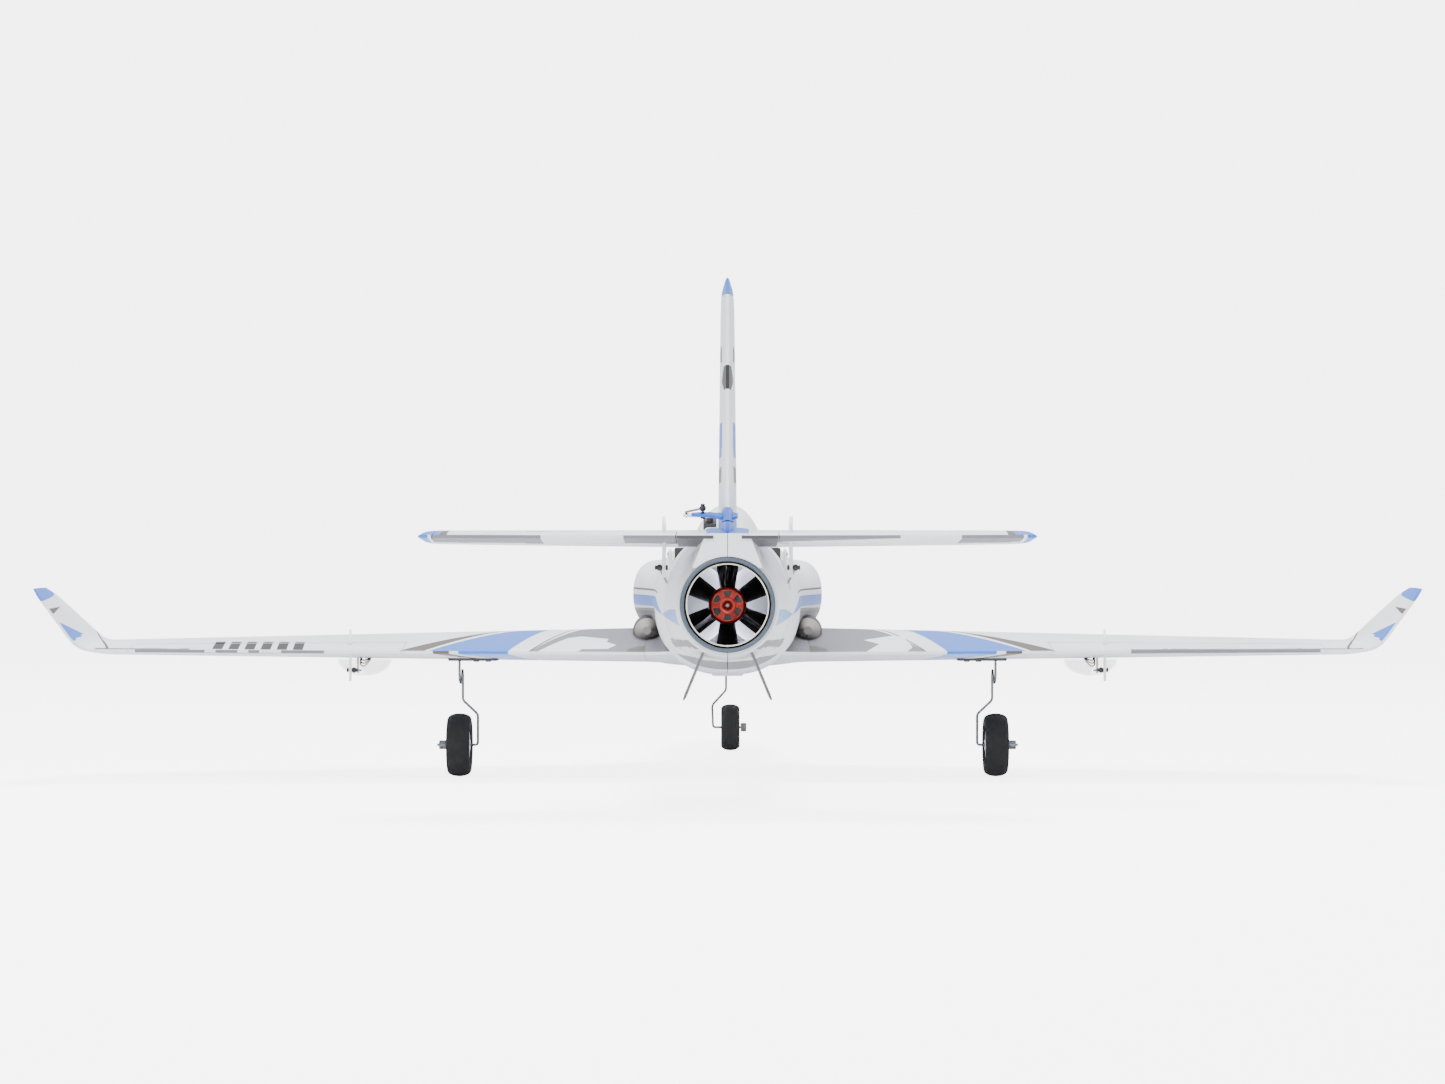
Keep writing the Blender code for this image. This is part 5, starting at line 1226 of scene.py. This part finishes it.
# ==== tail =========================================================================================
def stab_paint(side):
    top = [("blue", [(181.0, -600.0), (184.0, -470.0), (200.0, -470.0), (200.0, -600.0)]),
           ("stone", stepped((176.5, -600.0), (178.5, -465.0), 1.2, 4, 41) + [(184.0, -465.0), (181.0, -600.0)])]
    low = [("blue", [(189.0, -600.0), (189.0, -470.0), (200.0, -470.0), (200.0, -600.0)])]
    if side > 0:
        low.append(("grey", stepped((30.0, -524.0), (112.0, -553.0), 2.0, 6, 42)
                            + [(112.0, -570.0), (30.0, -570.0)]))
        low.append(("grey", stepped((148.0, -516.0), (187.0, -530.0), 4.0, 4, 46)
                            + [(187.0, -570.0), (148.0, -570.0)]))
    else:
        low.append(("grey", stepped((118.0, -512.0), (187.0, -530.0), 4.0, 6, 43)
                            + [(187.0, -570.0), (118.0, -570.0)]))
        low.append(("grey", stepped((30.0, -505.0), (66.0, -512.0), 2.0, 4, 44)
                            + [(66.0, -570.0), (30.0, -570.0)]))
    low.append(("dark", stepped((8.0, -470.0), (32.0, -470.0), 3.0, 3, 45)
                        + [(32.0, -570.0), (8.0, -570.0)]))
    rows = [(paint, "xy", mirrored(outline, side), upward) for paint, outline in top]
    return rows + [(paint, "xy", mirrored(outline, side), downward) for paint, outline in low]


def stabiliser(side):
    word = side_word(side)
    hinge = panel_hinge(STAB_STATIONS, ELEVATOR_X, ELEVATOR_CHORD, side)
    panel = loft("stab_" + word + "_panel", [
        foil_ring(row, side) for row in panel_rows(STAB_STATIONS, 186.0, 6.0, 16)])
    front = []
    for x in (ELEVATOR_X[0] - 0.6, ELEVATOR_X[1] + 0.5):
        y = hinge.at_x(side * x).y
        half = (skin_z(STAB_STATIONS, x, y, True) - skin_z(STAB_STATIONS, x, y, False)) / 2
        front.append((x, y + half + 0.5))
    (x0, y0), (x1, y1) = front
    horn_y = hinge.at_x(side * ELEVATOR_HORN_X).y
    bay = loft("elevator_bay", [[(side * x, y, z) for x, y in (
        (x0, y0), (x1, y1), (x1, -600.0), (x0, -600.0))] for z in (160.0, 200.0)])
    notch = box("horn_notch", *sorted_box((side * (ELEVATOR_HORN_X - 3), horn_y, 160),
                                          (side * (ELEVATOR_HORN_X + 3), horn_y + 11, 177)))
    cut_away(panel, union(bay, notch))
    painted(panel, stab_paint(side))
    finish(panel, None, "airframe", ["stab_" + word], 30.0)
    elevator = loft("elevator_" + word + "_panel", [
        surface_ring(STAB_STATIONS, x, hinge.at_x(side * x).y, side) for x in spaced(*ELEVATOR_X, 6.0)])
    horn_slot(elevator, hinge, side * ELEVATOR_HORN_X, 10.0)
    painted(elevator, stab_paint(side))
    finish(elevator, None, "elevator_" + word, ["elevator_" + word], 30.0)


def fin_half_thickness(z, y):
    _, lead, trail, half = mixed(FIN_STATIONS, z)
    c = (y - lead) / (trail - lead)
    return half * foil_shape(c) + EDGE_HALF * c


def fin_ring(z, lead, trail, half):
    points = []
    for side, chords in ((1, CHORD_POINTS), (-1, list(reversed(CHORD_POINTS)))):
        for c in chords:
            x = side * (half * foil_shape(c) + EDGE_HALF * min(1.0, half / 3.0) * c)
            points.append(Vector((x, lead + (trail - lead) * c, z)))
        if side == 1:
            points.append(Vector((0, lead, z)))
    return points


FIN_PAINT = [
    ("blue", "yz", [(-620.0, 330.5), (-620.0, 345.0), (-440.0, 345.0), (-440.0, 334.0), (-560.0, 330.5)],
     anywhere),
    ("ink", "yz", [(-620.0, 271.0), (-540.0, 271.0), (-516.0, 277.5), (-540.0, 286.0), (-620.0, 286.0)],
     anywhere),
    ("blue", "yz", [(-620.0, 170.0), (-620.0, 196.0), (-520.0, 197.0), (-430.0, 190.0), (-340.0, 180.0),
                    (-340.0, 170.0)], anywhere),
]
FIN_FLASH = [
    ("blue", "yz", [(-500.0, 230.0), (-360.0, 230.0), (-392.0, 252.0), (-522.0, 252.0)], anywhere),
    ("grey", "yz", [(-492.0, 214.0), (-340.0, 214.0), (-352.0, 224.0), (-500.0, 224.0)], anywhere),
    ("grey", "yz", stepped((-440.0, 290.0), (-520.0, 292.0), 2.0, 4, 51) + [(-524.0, 300.0), (-450.0, 300.0)],
     anywhere),
]


def fin_and_rudder():
    hinge = rudder_hinge()
    rows = [mixed(FIN_STATIONS, z) for z in spaced(178.0, 187.0, 3.0)[:-1] + spaced(187.0, 320.0, 5.0)]
    rows += [flowing([mixed(FIN_STATIONS, 314.0)] + FIN_STATIONS[2:], z) for z in spaced(320.0, 340.0, 0.9)[1:]]
    fin = loft("fin_panel", [fin_ring(*row) for row in rows])
    opening = []
    for z in (RUDDER_Z[0] - 0.8, RUDDER_Z[1] + 0.6):
        y = hinge.start.lerp(hinge.end, (z - hinge.start.z) / (hinge.end.z - hinge.start.z)).y
        front = y + fin_half_thickness(z, y) * 1.04 + 0.6
        opening.append([(x, yy, z) for x, yy in ((-20, front), (20, front), (20, -600.0), (-20, -600.0))])
    cut_away(fin, loft("rudder_bay", opening))
    painted(fin, FIN_PAINT + FIN_FLASH)
    finish(fin, None, "airframe", ["fin"], 30.0)
    lean = math.hypot(hinge.axis.y, hinge.axis.z) / hinge.axis.z
    rings = []
    for share in spaced(0.0, 1.0, 0.04):
        point = hinge.start.lerp(hinge.end, share)
        radius = fin_half_thickness(point.z, point.y)
        trail = mixed(FIN_STATIONS, point.z)[2]
        ring = [Vector((radius * math.sin(math.radians(a)), point.y + radius * lean * math.cos(math.radians(a)),
                        point.z)) for a in range(-90, 91, 15)]
        parts = [k / 8 for k in range(1, 9)]
        for sign, order in ((1, parts), (-1, list(reversed(parts)))):
            for part in order:
                y = point.y + (trail - point.y) * part
                ring.append(Vector((sign * fin_half_thickness(point.z, y), y, point.z)))
        rings.append(ring)
    rudder = loft("rudder_panel", rings)
    outline = [(2.5, -14), (2.5, 14), (-11, 14), (-11, -14)]
    cut_away(rudder, plate("horn_slot", outline, hinge.place_from(rudder_pivot()[1]), 2.4))
    painted(rudder, FIN_PAINT)
    finish(rudder, None, "rudder", ["rudder"], 30.0)


def ventral_fin(side):
    word = side_word(side)
    (x0, z0), (x1, z1) = (15.0, 105.0), (28.4, 72.8)
    down = Vector((side * (x1 - x0), 0, z1 - z0)).normalized()
    over = Vector((0, 1, 0)).cross(down)
    rings = []
    for share in spaced(0.0, 1.0, 0.05):
        root = Vector((side * x0, 0, z0)).lerp(Vector((side * x1, 0, z1)), share)
        ease = 1.0 - max(0.0, (share - 0.9) / 0.1) ** 2 * 0.5
        front, rear = -420.0 - 42.0 * share, -500.0 - 6.0 * share
        ring = []
        for sign, order in ((1, range(11)), (-1, range(10, -1, -1))):
            for k in order:
                c = k / 10
                half = min(1.0, math.sqrt(max(1 - (2 * c - 1)**2, 0.0)) * 1.6 + 0.08) * ease
                ring.append(root + Vector((0, front + (rear - front) * c, 0)) + over * half * sign)
        rings.append(ring)
    item = loft("ventral_" + word, rings)
    finish(item, VENTRAL, "airframe", ["ventral_fin_" + word], 50.0)


# ==== linkages =====================================================================================
def pushrod(name, hinge, near, far, near_side, far_side, lift=1.6):
    """A wire with a moulded ball link at the horn and a bent end at the servo arm."""
    reach = 0.9 + GAP
    link = near + hinge.axis * near_side * (reach + lift)
    end = far + hinge.axis * far_side * (reach + 1.1)
    ahead = (end - link).normalized()
    elbow = [link + ahead * 6.0, end - ahead * 4.0, end - ahead * 1.2,
             end - ahead * 0.2 + (far - end) * 0.3, far + (far - end).normalized() * 1.6]
    rod = wire(name + "_rod", curved(elbow, 5), 0.8, 14)
    finish(rod, CARBON, name + "_pushrod", [name + "_pushrod"])
    turn = ahead.to_track_quat("Z", "Y").to_matrix().to_4x4()
    bm = bmesh.new()
    bmesh.ops.create_uvsphere(bm, u_segments=24, v_segments=16, radius=2.15)
    bm.transform(Matrix.Translation(link))
    ball = add_object(name + "_ball_link", bm)
    neck = turned("neck", [(0, 0.5), (1.25, 0.5), (1.35, 5.0), (1.6, 5.6), (1.6, 8.2), (1.4, 9.0),
                           (0, 9.0)], 2, (0, 0, 0), 20)
    neck.data.transform(Matrix.Translation(link * MM) @ turn)
    over = hinge.axis * near_side
    pin = rod_between("pin", link + over * 2.5, near - over * (reach + 1.4), 0.9, 16, 0.15)
    head = rod_between("head", link + over * 1.9, link + over * 2.9, 1.5, 20, 0.3)
    nut = rod_between("nut", near - over * reach, near - over * (reach + 1.5), 1.7, 6, 0.2)
    finish(union(ball, neck, pin, head, nut), BLACK, name + "_pushrod", smooth=40.0)


def smooth_outline(points, steps=5):
    """The points of a plate's outline with rounded corners."""
    result = []
    count = len(points)
    for i in range(count):
        a, b, c = (Vector(points[(i + k) % count]) for k in (-1, 0, 1))
        cut = min((a - b).length, (c - b).length) * 0.4
        start, end = b + (a - b).normalized() * cut, b + (c - b).normalized() * cut
        for k in range(steps + 1):
            t = k / steps
            result.append(tuple(start * (1 - t)**2 + b * 2 * t * (1 - t) + end * t * t))
    return result


def linkage(name, hinge, centre, rod, arm, horn, arm_face, lever_points, towards, body, material):
    """A horn with its holes, and the servo arm with its boss and screw."""
    place = hinge.place_from(centre)
    hole = place(0, 0, towards * arm)
    item = plate(name + "_horn_plate", smooth_outline(horn), place, 1.8)
    holes = []
    for k in (0.0, 3.4, 6.6):
        spot = place(0, 0, towards * (arm + k))
        holes.append(rod_between("hole", spot - hinge.axis * 6, spot + hinge.axis * 6,
                                 1.15 if k == 0 else 0.55, 20))
    cut_away(item, gathered(holes))
    soften(item, 0.25, 50.0)
    finish(item, material, body, [name + "_horn"], 40.0)
    pivot, far = centre + rod, hole + rod
    offset = hinge.axis * arm_face
    lever = plate(name + "_arm_plate", smooth_outline(lever_points), hinge.place_from(pivot + offset), 1.8)
    inward = -arm_face / abs(arm_face)
    boss = rod_between("boss", pivot + offset + hinge.axis * inward * (abs(arm_face) - GAP),
                       pivot + offset - hinge.axis * inward * 1.4, 3.0, 32, 0.25)
    union(lever, boss)
    cut_away(lever, rod_between("hole", far - hinge.axis * 8, far + hinge.axis * 8, 1.15, 20))
    finish(lever, HORN_WHITE, name + "_servo_arm", [name + "_servo_arm"], 40.0)
    screw = rod_between(name + "_arm_screw", pivot + offset - hinge.axis * inward * 1.3,
                        pivot + offset - hinge.axis * inward * 2.1, 1.5, 20, 0.25)
    finish(screw, SCREW_STEEL, name + "_servo_arm")
    return hole, far, pivot


def lever_outline(arm):
    points = [(4.0 * math.cos(math.radians(a)), 4.0 * math.sin(math.radians(a))) for a in range(0, 181, 30)]
    return points + [(-2.3, -arm), (-1.4, -arm - 2.2), (1.4, -arm - 2.2), (2.3, -arm)]


def aileron_linkage(side):
    word = side_word(side)
    name = "aileron_" + word
    hinge, centre, _ = wing_servo(side)
    horn = [(1.5, 9.0), (0.5, 15.2), (-2.5, 15.2), (-11.5, 8.0), (-11.5, -6.5), (-3.2, -15.5), (-2.4, -23.0),
            (2.0, -24.2), (3.0, -15.5), (1.5, -8.0)]
    rod = Vector((side * AILERON_ROD[0], AILERON_ROD[1], AILERON_ROD[2]))
    near, far, pivot = linkage(name, hinge, centre, rod, AILERON_ARM, horn, side * 1.4,
                               lever_outline(AILERON_ARM),
                               -1, name, HORN_WHITE)
    pushrod(name, hinge, near, far + hinge.axis * side * 1.4, -side, -side)
    low, high = wing_servo_box(pivot, side, 0.0)
    case = box(name + "_servo_case", low, high, 0.8)
    spline = rod_between("spline", pivot - hinge.axis * side * 4.5, pivot - hinge.axis * side * 0.6, 2.4, 32)
    union(case, spline)
    finish(case, BLACK, "airframe", ["aileron_servo_" + word])
    lug_x = low[0] + 4.0 if side > 0 else high[0] - 4.0
    lug = box(name + "_servo_lugs", *sorted_box(
        (lug_x - 1.1, low[1] - 4.5, low[2] + 0.6), (lug_x + 1.1, high[1] + 4.5, high[2] - 0.6)), 0.5)
    finish(lug, BLACK, "airframe")
    for k, material in enumerate((WIRE_RED, BLACK, BLACK)):
        start = Vector((pivot.x - side * 10.0, pivot.y - 7.0, pivot.z - 4.0 + 1.3 * k))
        path = curved([start, start + Vector((side * 2.0, -4.0, -4.5)),
                       start + Vector((side * 6.0, -3.0, -8.0 + k)),
                       start + Vector((side * 9.0, 2.0, -6.5 + k)),
                       start + Vector((side * 8.0, 5.0, -1.0 + k))], 6)
        finish(wire(name + "_servo_lead_" + str(k + 1), path, 0.6, 10), material, "airframe")
    servo_dome(side, pivot)


def servo_dome(side, pivot):
    """A clear moulded blister under the wing with a flat rim."""
    word = side_word(side)
    centre = Vector((pivot.x - side * 4.0, pivot.y - 2.0, 0))
    base_z = skin_z(WING_STATIONS, AILERON_HORN_X, pivot.y, False) - 1.2
    depth = base_z - (pivot.z - AILERON_ARM - 4.2)

    def blister(name, shrink, lift):
        rings = []
        for k in range(15):
            angle = k / 14 * math.pi / 2
            scale = max(math.cos(angle), 0.04)
            rings.append([(centre.x + (20.5 - shrink) * scale * math.cos(math.tau * j / 72),
                           centre.y + (30.0 - shrink) * scale * math.sin(math.tau * j / 72),
                           base_z + lift - (depth - shrink + lift) * math.sin(angle)) for j in range(72)])
        return loft(name, rings)

    dome = blister("dome_" + word, 0.0, 0.0)
    cut_away(dome, blister("inside", 0.7, 0.6),
             box("rod_slot", (pivot.x - 5.5, centre.y - 40, base_z - depth - 5),
                                                   (pivot.x + 5.5, centre.y - 12, base_z + 2)))
    finish(dome, DOME, "airframe", ["servo_dome_" + word], 40.0)


def elevator_linkage(side):
    word = side_word(side)
    name = "elevator_" + word
    hinge, centre, pivot = elevator_pivot(side)
    horn = [(1.5, 8.0), (0.6, 13.6), (-2.3, 13.6), (-9.5, 6.8), (-9.5, -6.2), (-3.1, -17.2), (-2.2, -25.0),
            (1.7, -26.0), (3.1, -18.4), (1.5, -7.6)]
    rod = Vector((side * ELEVATOR_ROD[0], ELEVATOR_ROD[1], ELEVATOR_ROD[2]))
    near, far, pivot = linkage(name, hinge, centre, rod, ELEVATOR_ARM, horn, side * 1.4,
                               lever_outline(ELEVATOR_ARM), -1, name, HORN_WHITE)
    pushrod(name, hinge, near, far + hinge.axis * side * 1.4, side, side)
    face = pivot.x - side * 1.6
    case = servo_body(name + "_servo_case", Vector((face, pivot.y, pivot.z)), (side, 0, 0), *SMALL_SERVO)
    soften(case, 0.7, 40.0, 3)
    finish(case, BLACK, "airframe", ["elevator_servo_" + word])


def rudder_linkage():
    hinge, centre, pivot = rudder_pivot()
    port = -1 if hinge.above.x > 0 else 1
    horn = [(0.7, port * 3.0), (2.9, port * 12.0), (3.4, port * 18.0), (1.6, port * 23.5), (-1.8, port * 23.5),
            (-3.4, port * 18.0), (-6.0, port * 9.0), (-10.5, port * 5.5), (-10.5, port * -6.8),
            (2.2, port * -6.8)]
    lever = [(-a, -b * port) for a, b in lever_outline(RUDDER_ARM)]
    near, far, pivot = linkage("rudder", hinge, centre, Vector(RUDDER_ROD), RUDDER_ARM, horn, 1.4, lever, port,
                               "rudder", HORN_BLUE)
    pushrod("rudder", hinge, near, far + hinge.axis * 1.4, 1, 1, 2.9)
    case = servo_body("rudder_servo_case", pivot - hinge.axis * 3.2, hinge.axis, *SMALL_SERVO)
    soften(case, 0.7, 40.0, 3)
    union(case, rod_between("spline", pivot - hinge.axis * 4.0, pivot - hinge.axis * 0.6, 2.4, 32))
    finish(case, BLACK, "airframe", ["rudder_servo"])


# ==== landing gear =================================================================================
def rounded_path(points, radius, steps=6):
    """A polyline whose corners are bent to a radius."""
    points = [Vector(point) for point in points]
    result = [points[0]]
    for a, b, c in zip(points, points[1:], points[2:]):
        cut = min(radius, (a - b).length * 0.45, (c - b).length * 0.45)
        start, end = b + (a - b).normalized() * cut, b + (c - b).normalized() * cut
        for k in range(steps + 1):
            t = k / steps
            result.append(start * (1 - t)**2 + b * 2 * t * (1 - t) + end * t * t)
    return result + [points[-1]]


def collar(name, x, y, z, radius, width, direction, body):
    """A wheel collar with its set screw."""
    item = turned(name, [(0, 0), (radius - 0.4, 0), (radius, 0.4 * direction), (radius, (width - 0.4) * direction),
                         (radius - 0.4, width * direction), (0, width * direction)], 0, (x, y, z), 40)
    middle = Vector((x + direction * width / 2, y, z))
    cut_away(item, rod_between("hole", middle + Vector((0, 0, radius - 0.9)),
                               middle + Vector((0, 0, radius + 2)), 1.0, 16))
    finish(item, SCREW_STEEL, body, smooth=40.0)


def main_leg(side):
    word = side_word(side)
    top = gear_mount_box(side, 0.0)[1][2]
    x, y = side * MAIN_X, MAIN_Y
    path = [Vector((x, y, top - 0.4)), Vector((x, y, 79.0))]
    middle = 76.55
    for k in range(1, 61):
        angle = math.tau * k / 56
        path.append(Vector((x - side * 2.6 * k / 56, y + 4.8 - 4.8 * math.cos(angle),
                            middle - 4.8 * math.sin(angle))))
    low_x = x - side * 2.6
    lower = [(low_x, y, 69.8), (low_x, y, 58.5), (side * 191.8, y, 47.7), (side * 191.8, y, MAIN_WHEEL_R),
             (side * 223.2, y, MAIN_WHEEL_R)]
    leg = wire("main_leg_" + word, path[:-4] + rounded_path(lower, 2.2), 1.0, 16)
    finish(leg, STEEL, "airframe", ["main_strut_" + word], 50.0)
    collar("main_collar_" + word, side * (MAIN_X + MAIN_WHEEL_WIDTH / 2 + 1.2), y, MAIN_WHEEL_R,
           3.45, 5.4, side, "airframe")
    mount = box("main_mount_" + word, *gear_mount_box(side, 0.0), 1.0)
    finish(mount, MOUNT_GREY, "airframe", ["main_gear_mount_" + word])
    low = gear_mount_box(side, 0.0)[0][2]
    for k, dx in enumerate((-22.0, -13.0)):
        head = turned("main_mount_screw_" + word + "_" + str(k + 1), [
                      (0, 0.3), (1.1, 0.3), (1.3, -0.3), (1.9, -0.9), (2.4, 0.0), (2.4, 0.6), (0, 0.6)],
                      2, (side * (MAIN_X + dx), y, low - 0.1), 24)
        finish(head, SCREW_STEEL, "airframe")
    wheel("main", "_" + word, (x, y, MAIN_WHEEL_R), MAIN_WHEEL_R, MAIN_WHEEL_WIDTH, "main_wheel_" + word)


def wheel(kind, tail, centre, radius, width, body):
    """A crowned foam tyre on a white five-spoke hub."""
    half, rim = width / 2, radius * 0.56
    shoulder = half * 0.55
    profile = [(rim, -half * 0.8), (rim + 0.8, -half * 0.92)]
    for k in range(25):
        angle = math.radians(-90 + 7.5 * k)
        profile.append((radius - shoulder + shoulder * abs(math.cos(angle)) ** 0.8, half * math.sin(angle)))
    profile += [(rim + 0.8, half * 0.92), (rim, half * 0.8)]
    tyre = turned(kind + "_tyre_foam" + tail, profile, 0, centre, 96)
    finish(tyre, TYRE, body, [kind + "_tyre" + tail], 50.0)
    seat, reach = rim - GAP, half * 0.92
    disc = turned(kind + "_wheel_hub" + tail, [
        (1.25, -reach), (4.0, -reach), (4.4, -reach + 0.4), (4.8, -half * 0.34), (seat - 2.0, -half * 0.3),
        (seat - 1.6, -half * 0.5), (seat - 1.6, -half * 0.8), (seat, -half * 0.8), (seat, half * 0.8),
        (seat - 1.6, half * 0.8), (seat - 1.6, half * 0.5), (seat - 2.0, half * 0.3), (4.8, half * 0.34),
        (4.4, reach - 0.4), (4.0, reach), (1.25, reach)], 0, centre, 80)
    tools = []
    for k in range(5):
        middle, spread = math.tau * k / 5, math.radians(24)
        outline = []
        for r, order in ((seat - 3.0, range(-3, 4)), (6.0, range(3, -4, -1))):
            for j in order:
                a = middle + spread * j / 3 * (1.0 if r > 7 else 0.7)
                outline.append((r * math.sin(a), r * math.cos(a)))
        tools.append(loft("gap", [[(centre[0] + dx, centre[1] + a, centre[2] + b) for a, b in outline]
                                  for dx in (-width, width)]))
    cut_away(disc, gathered(tools))
    finish(disc, HUB_WHITE, body, [kind + "_hub" + tail], 40.0)


def nose_leg():
    y = NOSE_GEAR_Y
    points = [(NOSE_LEG_X, y, 96.0), (NOSE_LEG_X, y, 53.4), (-13.6, y, 40.1), (-12.9, y, NOSE_WHEEL_R),
              (15.4, y, NOSE_WHEEL_R)]
    leg = wire("nose_leg_wire", rounded_path(points, 2.4), 1.0, 16)
    finish(leg, STEEL, "nose_leg", ["nose_strut"], 50.0)
    collar("nose_collar", NOSE_WHEEL_X + NOSE_WHEEL_WIDTH / 2 + 0.9, y, NOSE_WHEEL_R, 3.9, 5.2, 1, "nose_leg")
    arm = box("nose_steering_arm", (NOSE_LEG_X - 15, y - 3.2, 92.2), (NOSE_LEG_X + 4.2, y + 3.2, 95.4), 1.0)
    cut_away(arm, rod_between("hole", (NOSE_LEG_X - 12, y, 80), (NOSE_LEG_X - 12, y, 110), 0.9, 16))
    finish(arm, BLACK, "nose_leg")
    mount = box("nose_mount_block", (-14, y - 14, 66.2), (14, y + 14, 91.5), 1.6)
    finish(mount, HUB_WHITE, "airframe", ["nose_gear_mount"])
    wheel("nose", "", (NOSE_WHEEL_X, y, NOSE_WHEEL_R), NOSE_WHEEL_R, NOSE_WHEEL_WIDTH, "nose_wheel")


# ==== inside =======================================================================================
def inside():
    finish(rod_between("spar_tube", (-205, 8, 93), (205, 8, 93), 4.0, 48), CARBON,
           "airframe", ["wing_tube"])
    pack = box("battery_pack", (-18, 172, 88.5), (18, 298, 116.5), 4.0)
    finish(pack, BATTERY, "airframe", ["battery"])
    for k, y in enumerate((200.0, 262.0)):
        strap = box("battery_strap_" + str(k + 1), (-18.6, y, 88.0), (18.6, y + 20, 117.4), 2.0)
        finish(strap, BLACK, "airframe")
    finish(box("esc_case", (-16, 378, 94.0), (16, 432, 106.0), 1.6), BLACK, "airframe", ["esc"])
    finish(box("receiver_case", (-24, 306, 98.0), (-1, 332, 112.0), 1.4), RECEIVER,
           "airframe", ["receiver"])
    for k, (x, material) in enumerate(((4.0, WIRE_RED), (9.0, BLACK))):
        path = curved([(x, 298.0, 104.0), (x + 3, 318.0, 112.0), (x + 1, 345.0, 110.0), (x - 2, 380.0, 101.0)], 8)
        finish(wire("battery_lead_" + str(k + 1), path, 1.8, 14), material, "airframe")


# ==== stage ========================================================================================
WORLD_LIGHT = 1.15
BACKDROP = 5.4
FLOOR_GLOW = 4.3
# name, place and aim in metres, width, power
LIGHTS = (
    ("key_light", (-1.6, -2.2, 3.0), (0, 0, 0.1), 1.6, 120.0),
    ("top_light", (0.3, 0.2, 3.2), (0, 0, 0.1), 1.2, 150.0),
    ("tail_light", (0.2, -3.6, 0.9), (0, -0.5, 0.14), 0.8, 16.0),
    ("duct_light", (0.0, -0.128, 0.1323), (0, 0.1, 0.1323), 0.05, 0.34),
    ("tube_light", (0.0, -0.50, 0.136), (0, -0.2, 0.132), 0.03, 0.06),
)


def stage():
    bm = bmesh.new()
    bmesh.ops.create_circle(bm, cap_ends=True, segments=96, radius=60.0)
    mesh = bpy.data.meshes.new("floor")
    bm.to_mesh(mesh)
    bm.free()
    floor = bpy.data.objects.new("floor", mesh)
    bpy.context.scene.collection.objects.link(floor)
    item = Finish("floor_white", (0.93, 0.93, 0.93), 0.75)
    item.paint(item.tint(item.mixed(item.noise(0.4, 2.0), 0.3, 0.7, 0.0, 1.0),
                         (0.93, 0.93, 0.93), (0.95, 0.95, 0.95)))
    item.shader.inputs["Emission Color"].default_value = (1.0, 1.0, 1.0, 1.0)
    seen = item.node("ShaderNodeLightPath").outputs["Is Camera Ray"]
    item.link(item.mixed(seen, 0.0, 1.0, 0.0, FLOOR_GLOW), item.shader.inputs["Emission Strength"])
    mesh.materials.append(item.material)

    world = bpy.data.worlds.new("studio")
    bpy.context.scene.world = world
    world.use_nodes = True
    nodes, links = world.node_tree.nodes, world.node_tree.links
    background = nodes["Background"]
    background.inputs["Color"].default_value = (1.0, 1.0, 1.0, 1.0)
    span = nodes.new("ShaderNodeMapRange")
    span.inputs["To Min"].default_value = WORLD_LIGHT
    span.inputs["To Max"].default_value = BACKDROP
    links.new(nodes.new("ShaderNodeLightPath").outputs["Is Camera Ray"], span.inputs["Value"])
    links.new(span.outputs["Result"], background.inputs["Strength"])
    for name, place, aim, size, power in LIGHTS:
        light = bpy.data.lights.new(name, "AREA")
        light.shape = "DISK"
        light.size = size
        light.energy = power
        lamp = bpy.data.objects.new(name, light)
        lamp.location = place
        lamp.rotation_euler = (Vector(aim) - Vector(place)).to_track_quat("-Z", "Y").to_euler()
        lamp.visible_camera = False
        bpy.context.scene.collection.objects.link(lamp)

    data = bpy.data.cameras.new("camera")
    data.sensor_width = 36.0
    data.lens = 3511.0 / 1445.0 * 36.0
    data.clip_start, data.clip_end = 0.05, 200.0
    camera = bpy.data.objects.new("camera", data)
    bpy.context.scene.collection.objects.link(camera)
    camera.location = (0.0, -2.77, 0.1485)
    pitch = math.atan2(583.0 - 542.0, 3511.0)
    yaw = math.atan2(727.5 - 722.5, 3511.0)
    camera.rotation_euler = (math.pi / 2 + pitch, 0.0, yaw)
    bpy.context.scene.camera = camera


def main():
    fuselage()
    fan_parts()
    fin_and_rudder()
    rudder_linkage()
    nose_leg()
    inside()
    for side in (1, -1):
        wing(side)
        aileron_linkage(side)
        stabiliser(side)
        elevator_linkage(side)
        main_leg(side)
        ventral_fin(side)
    stage()


main()
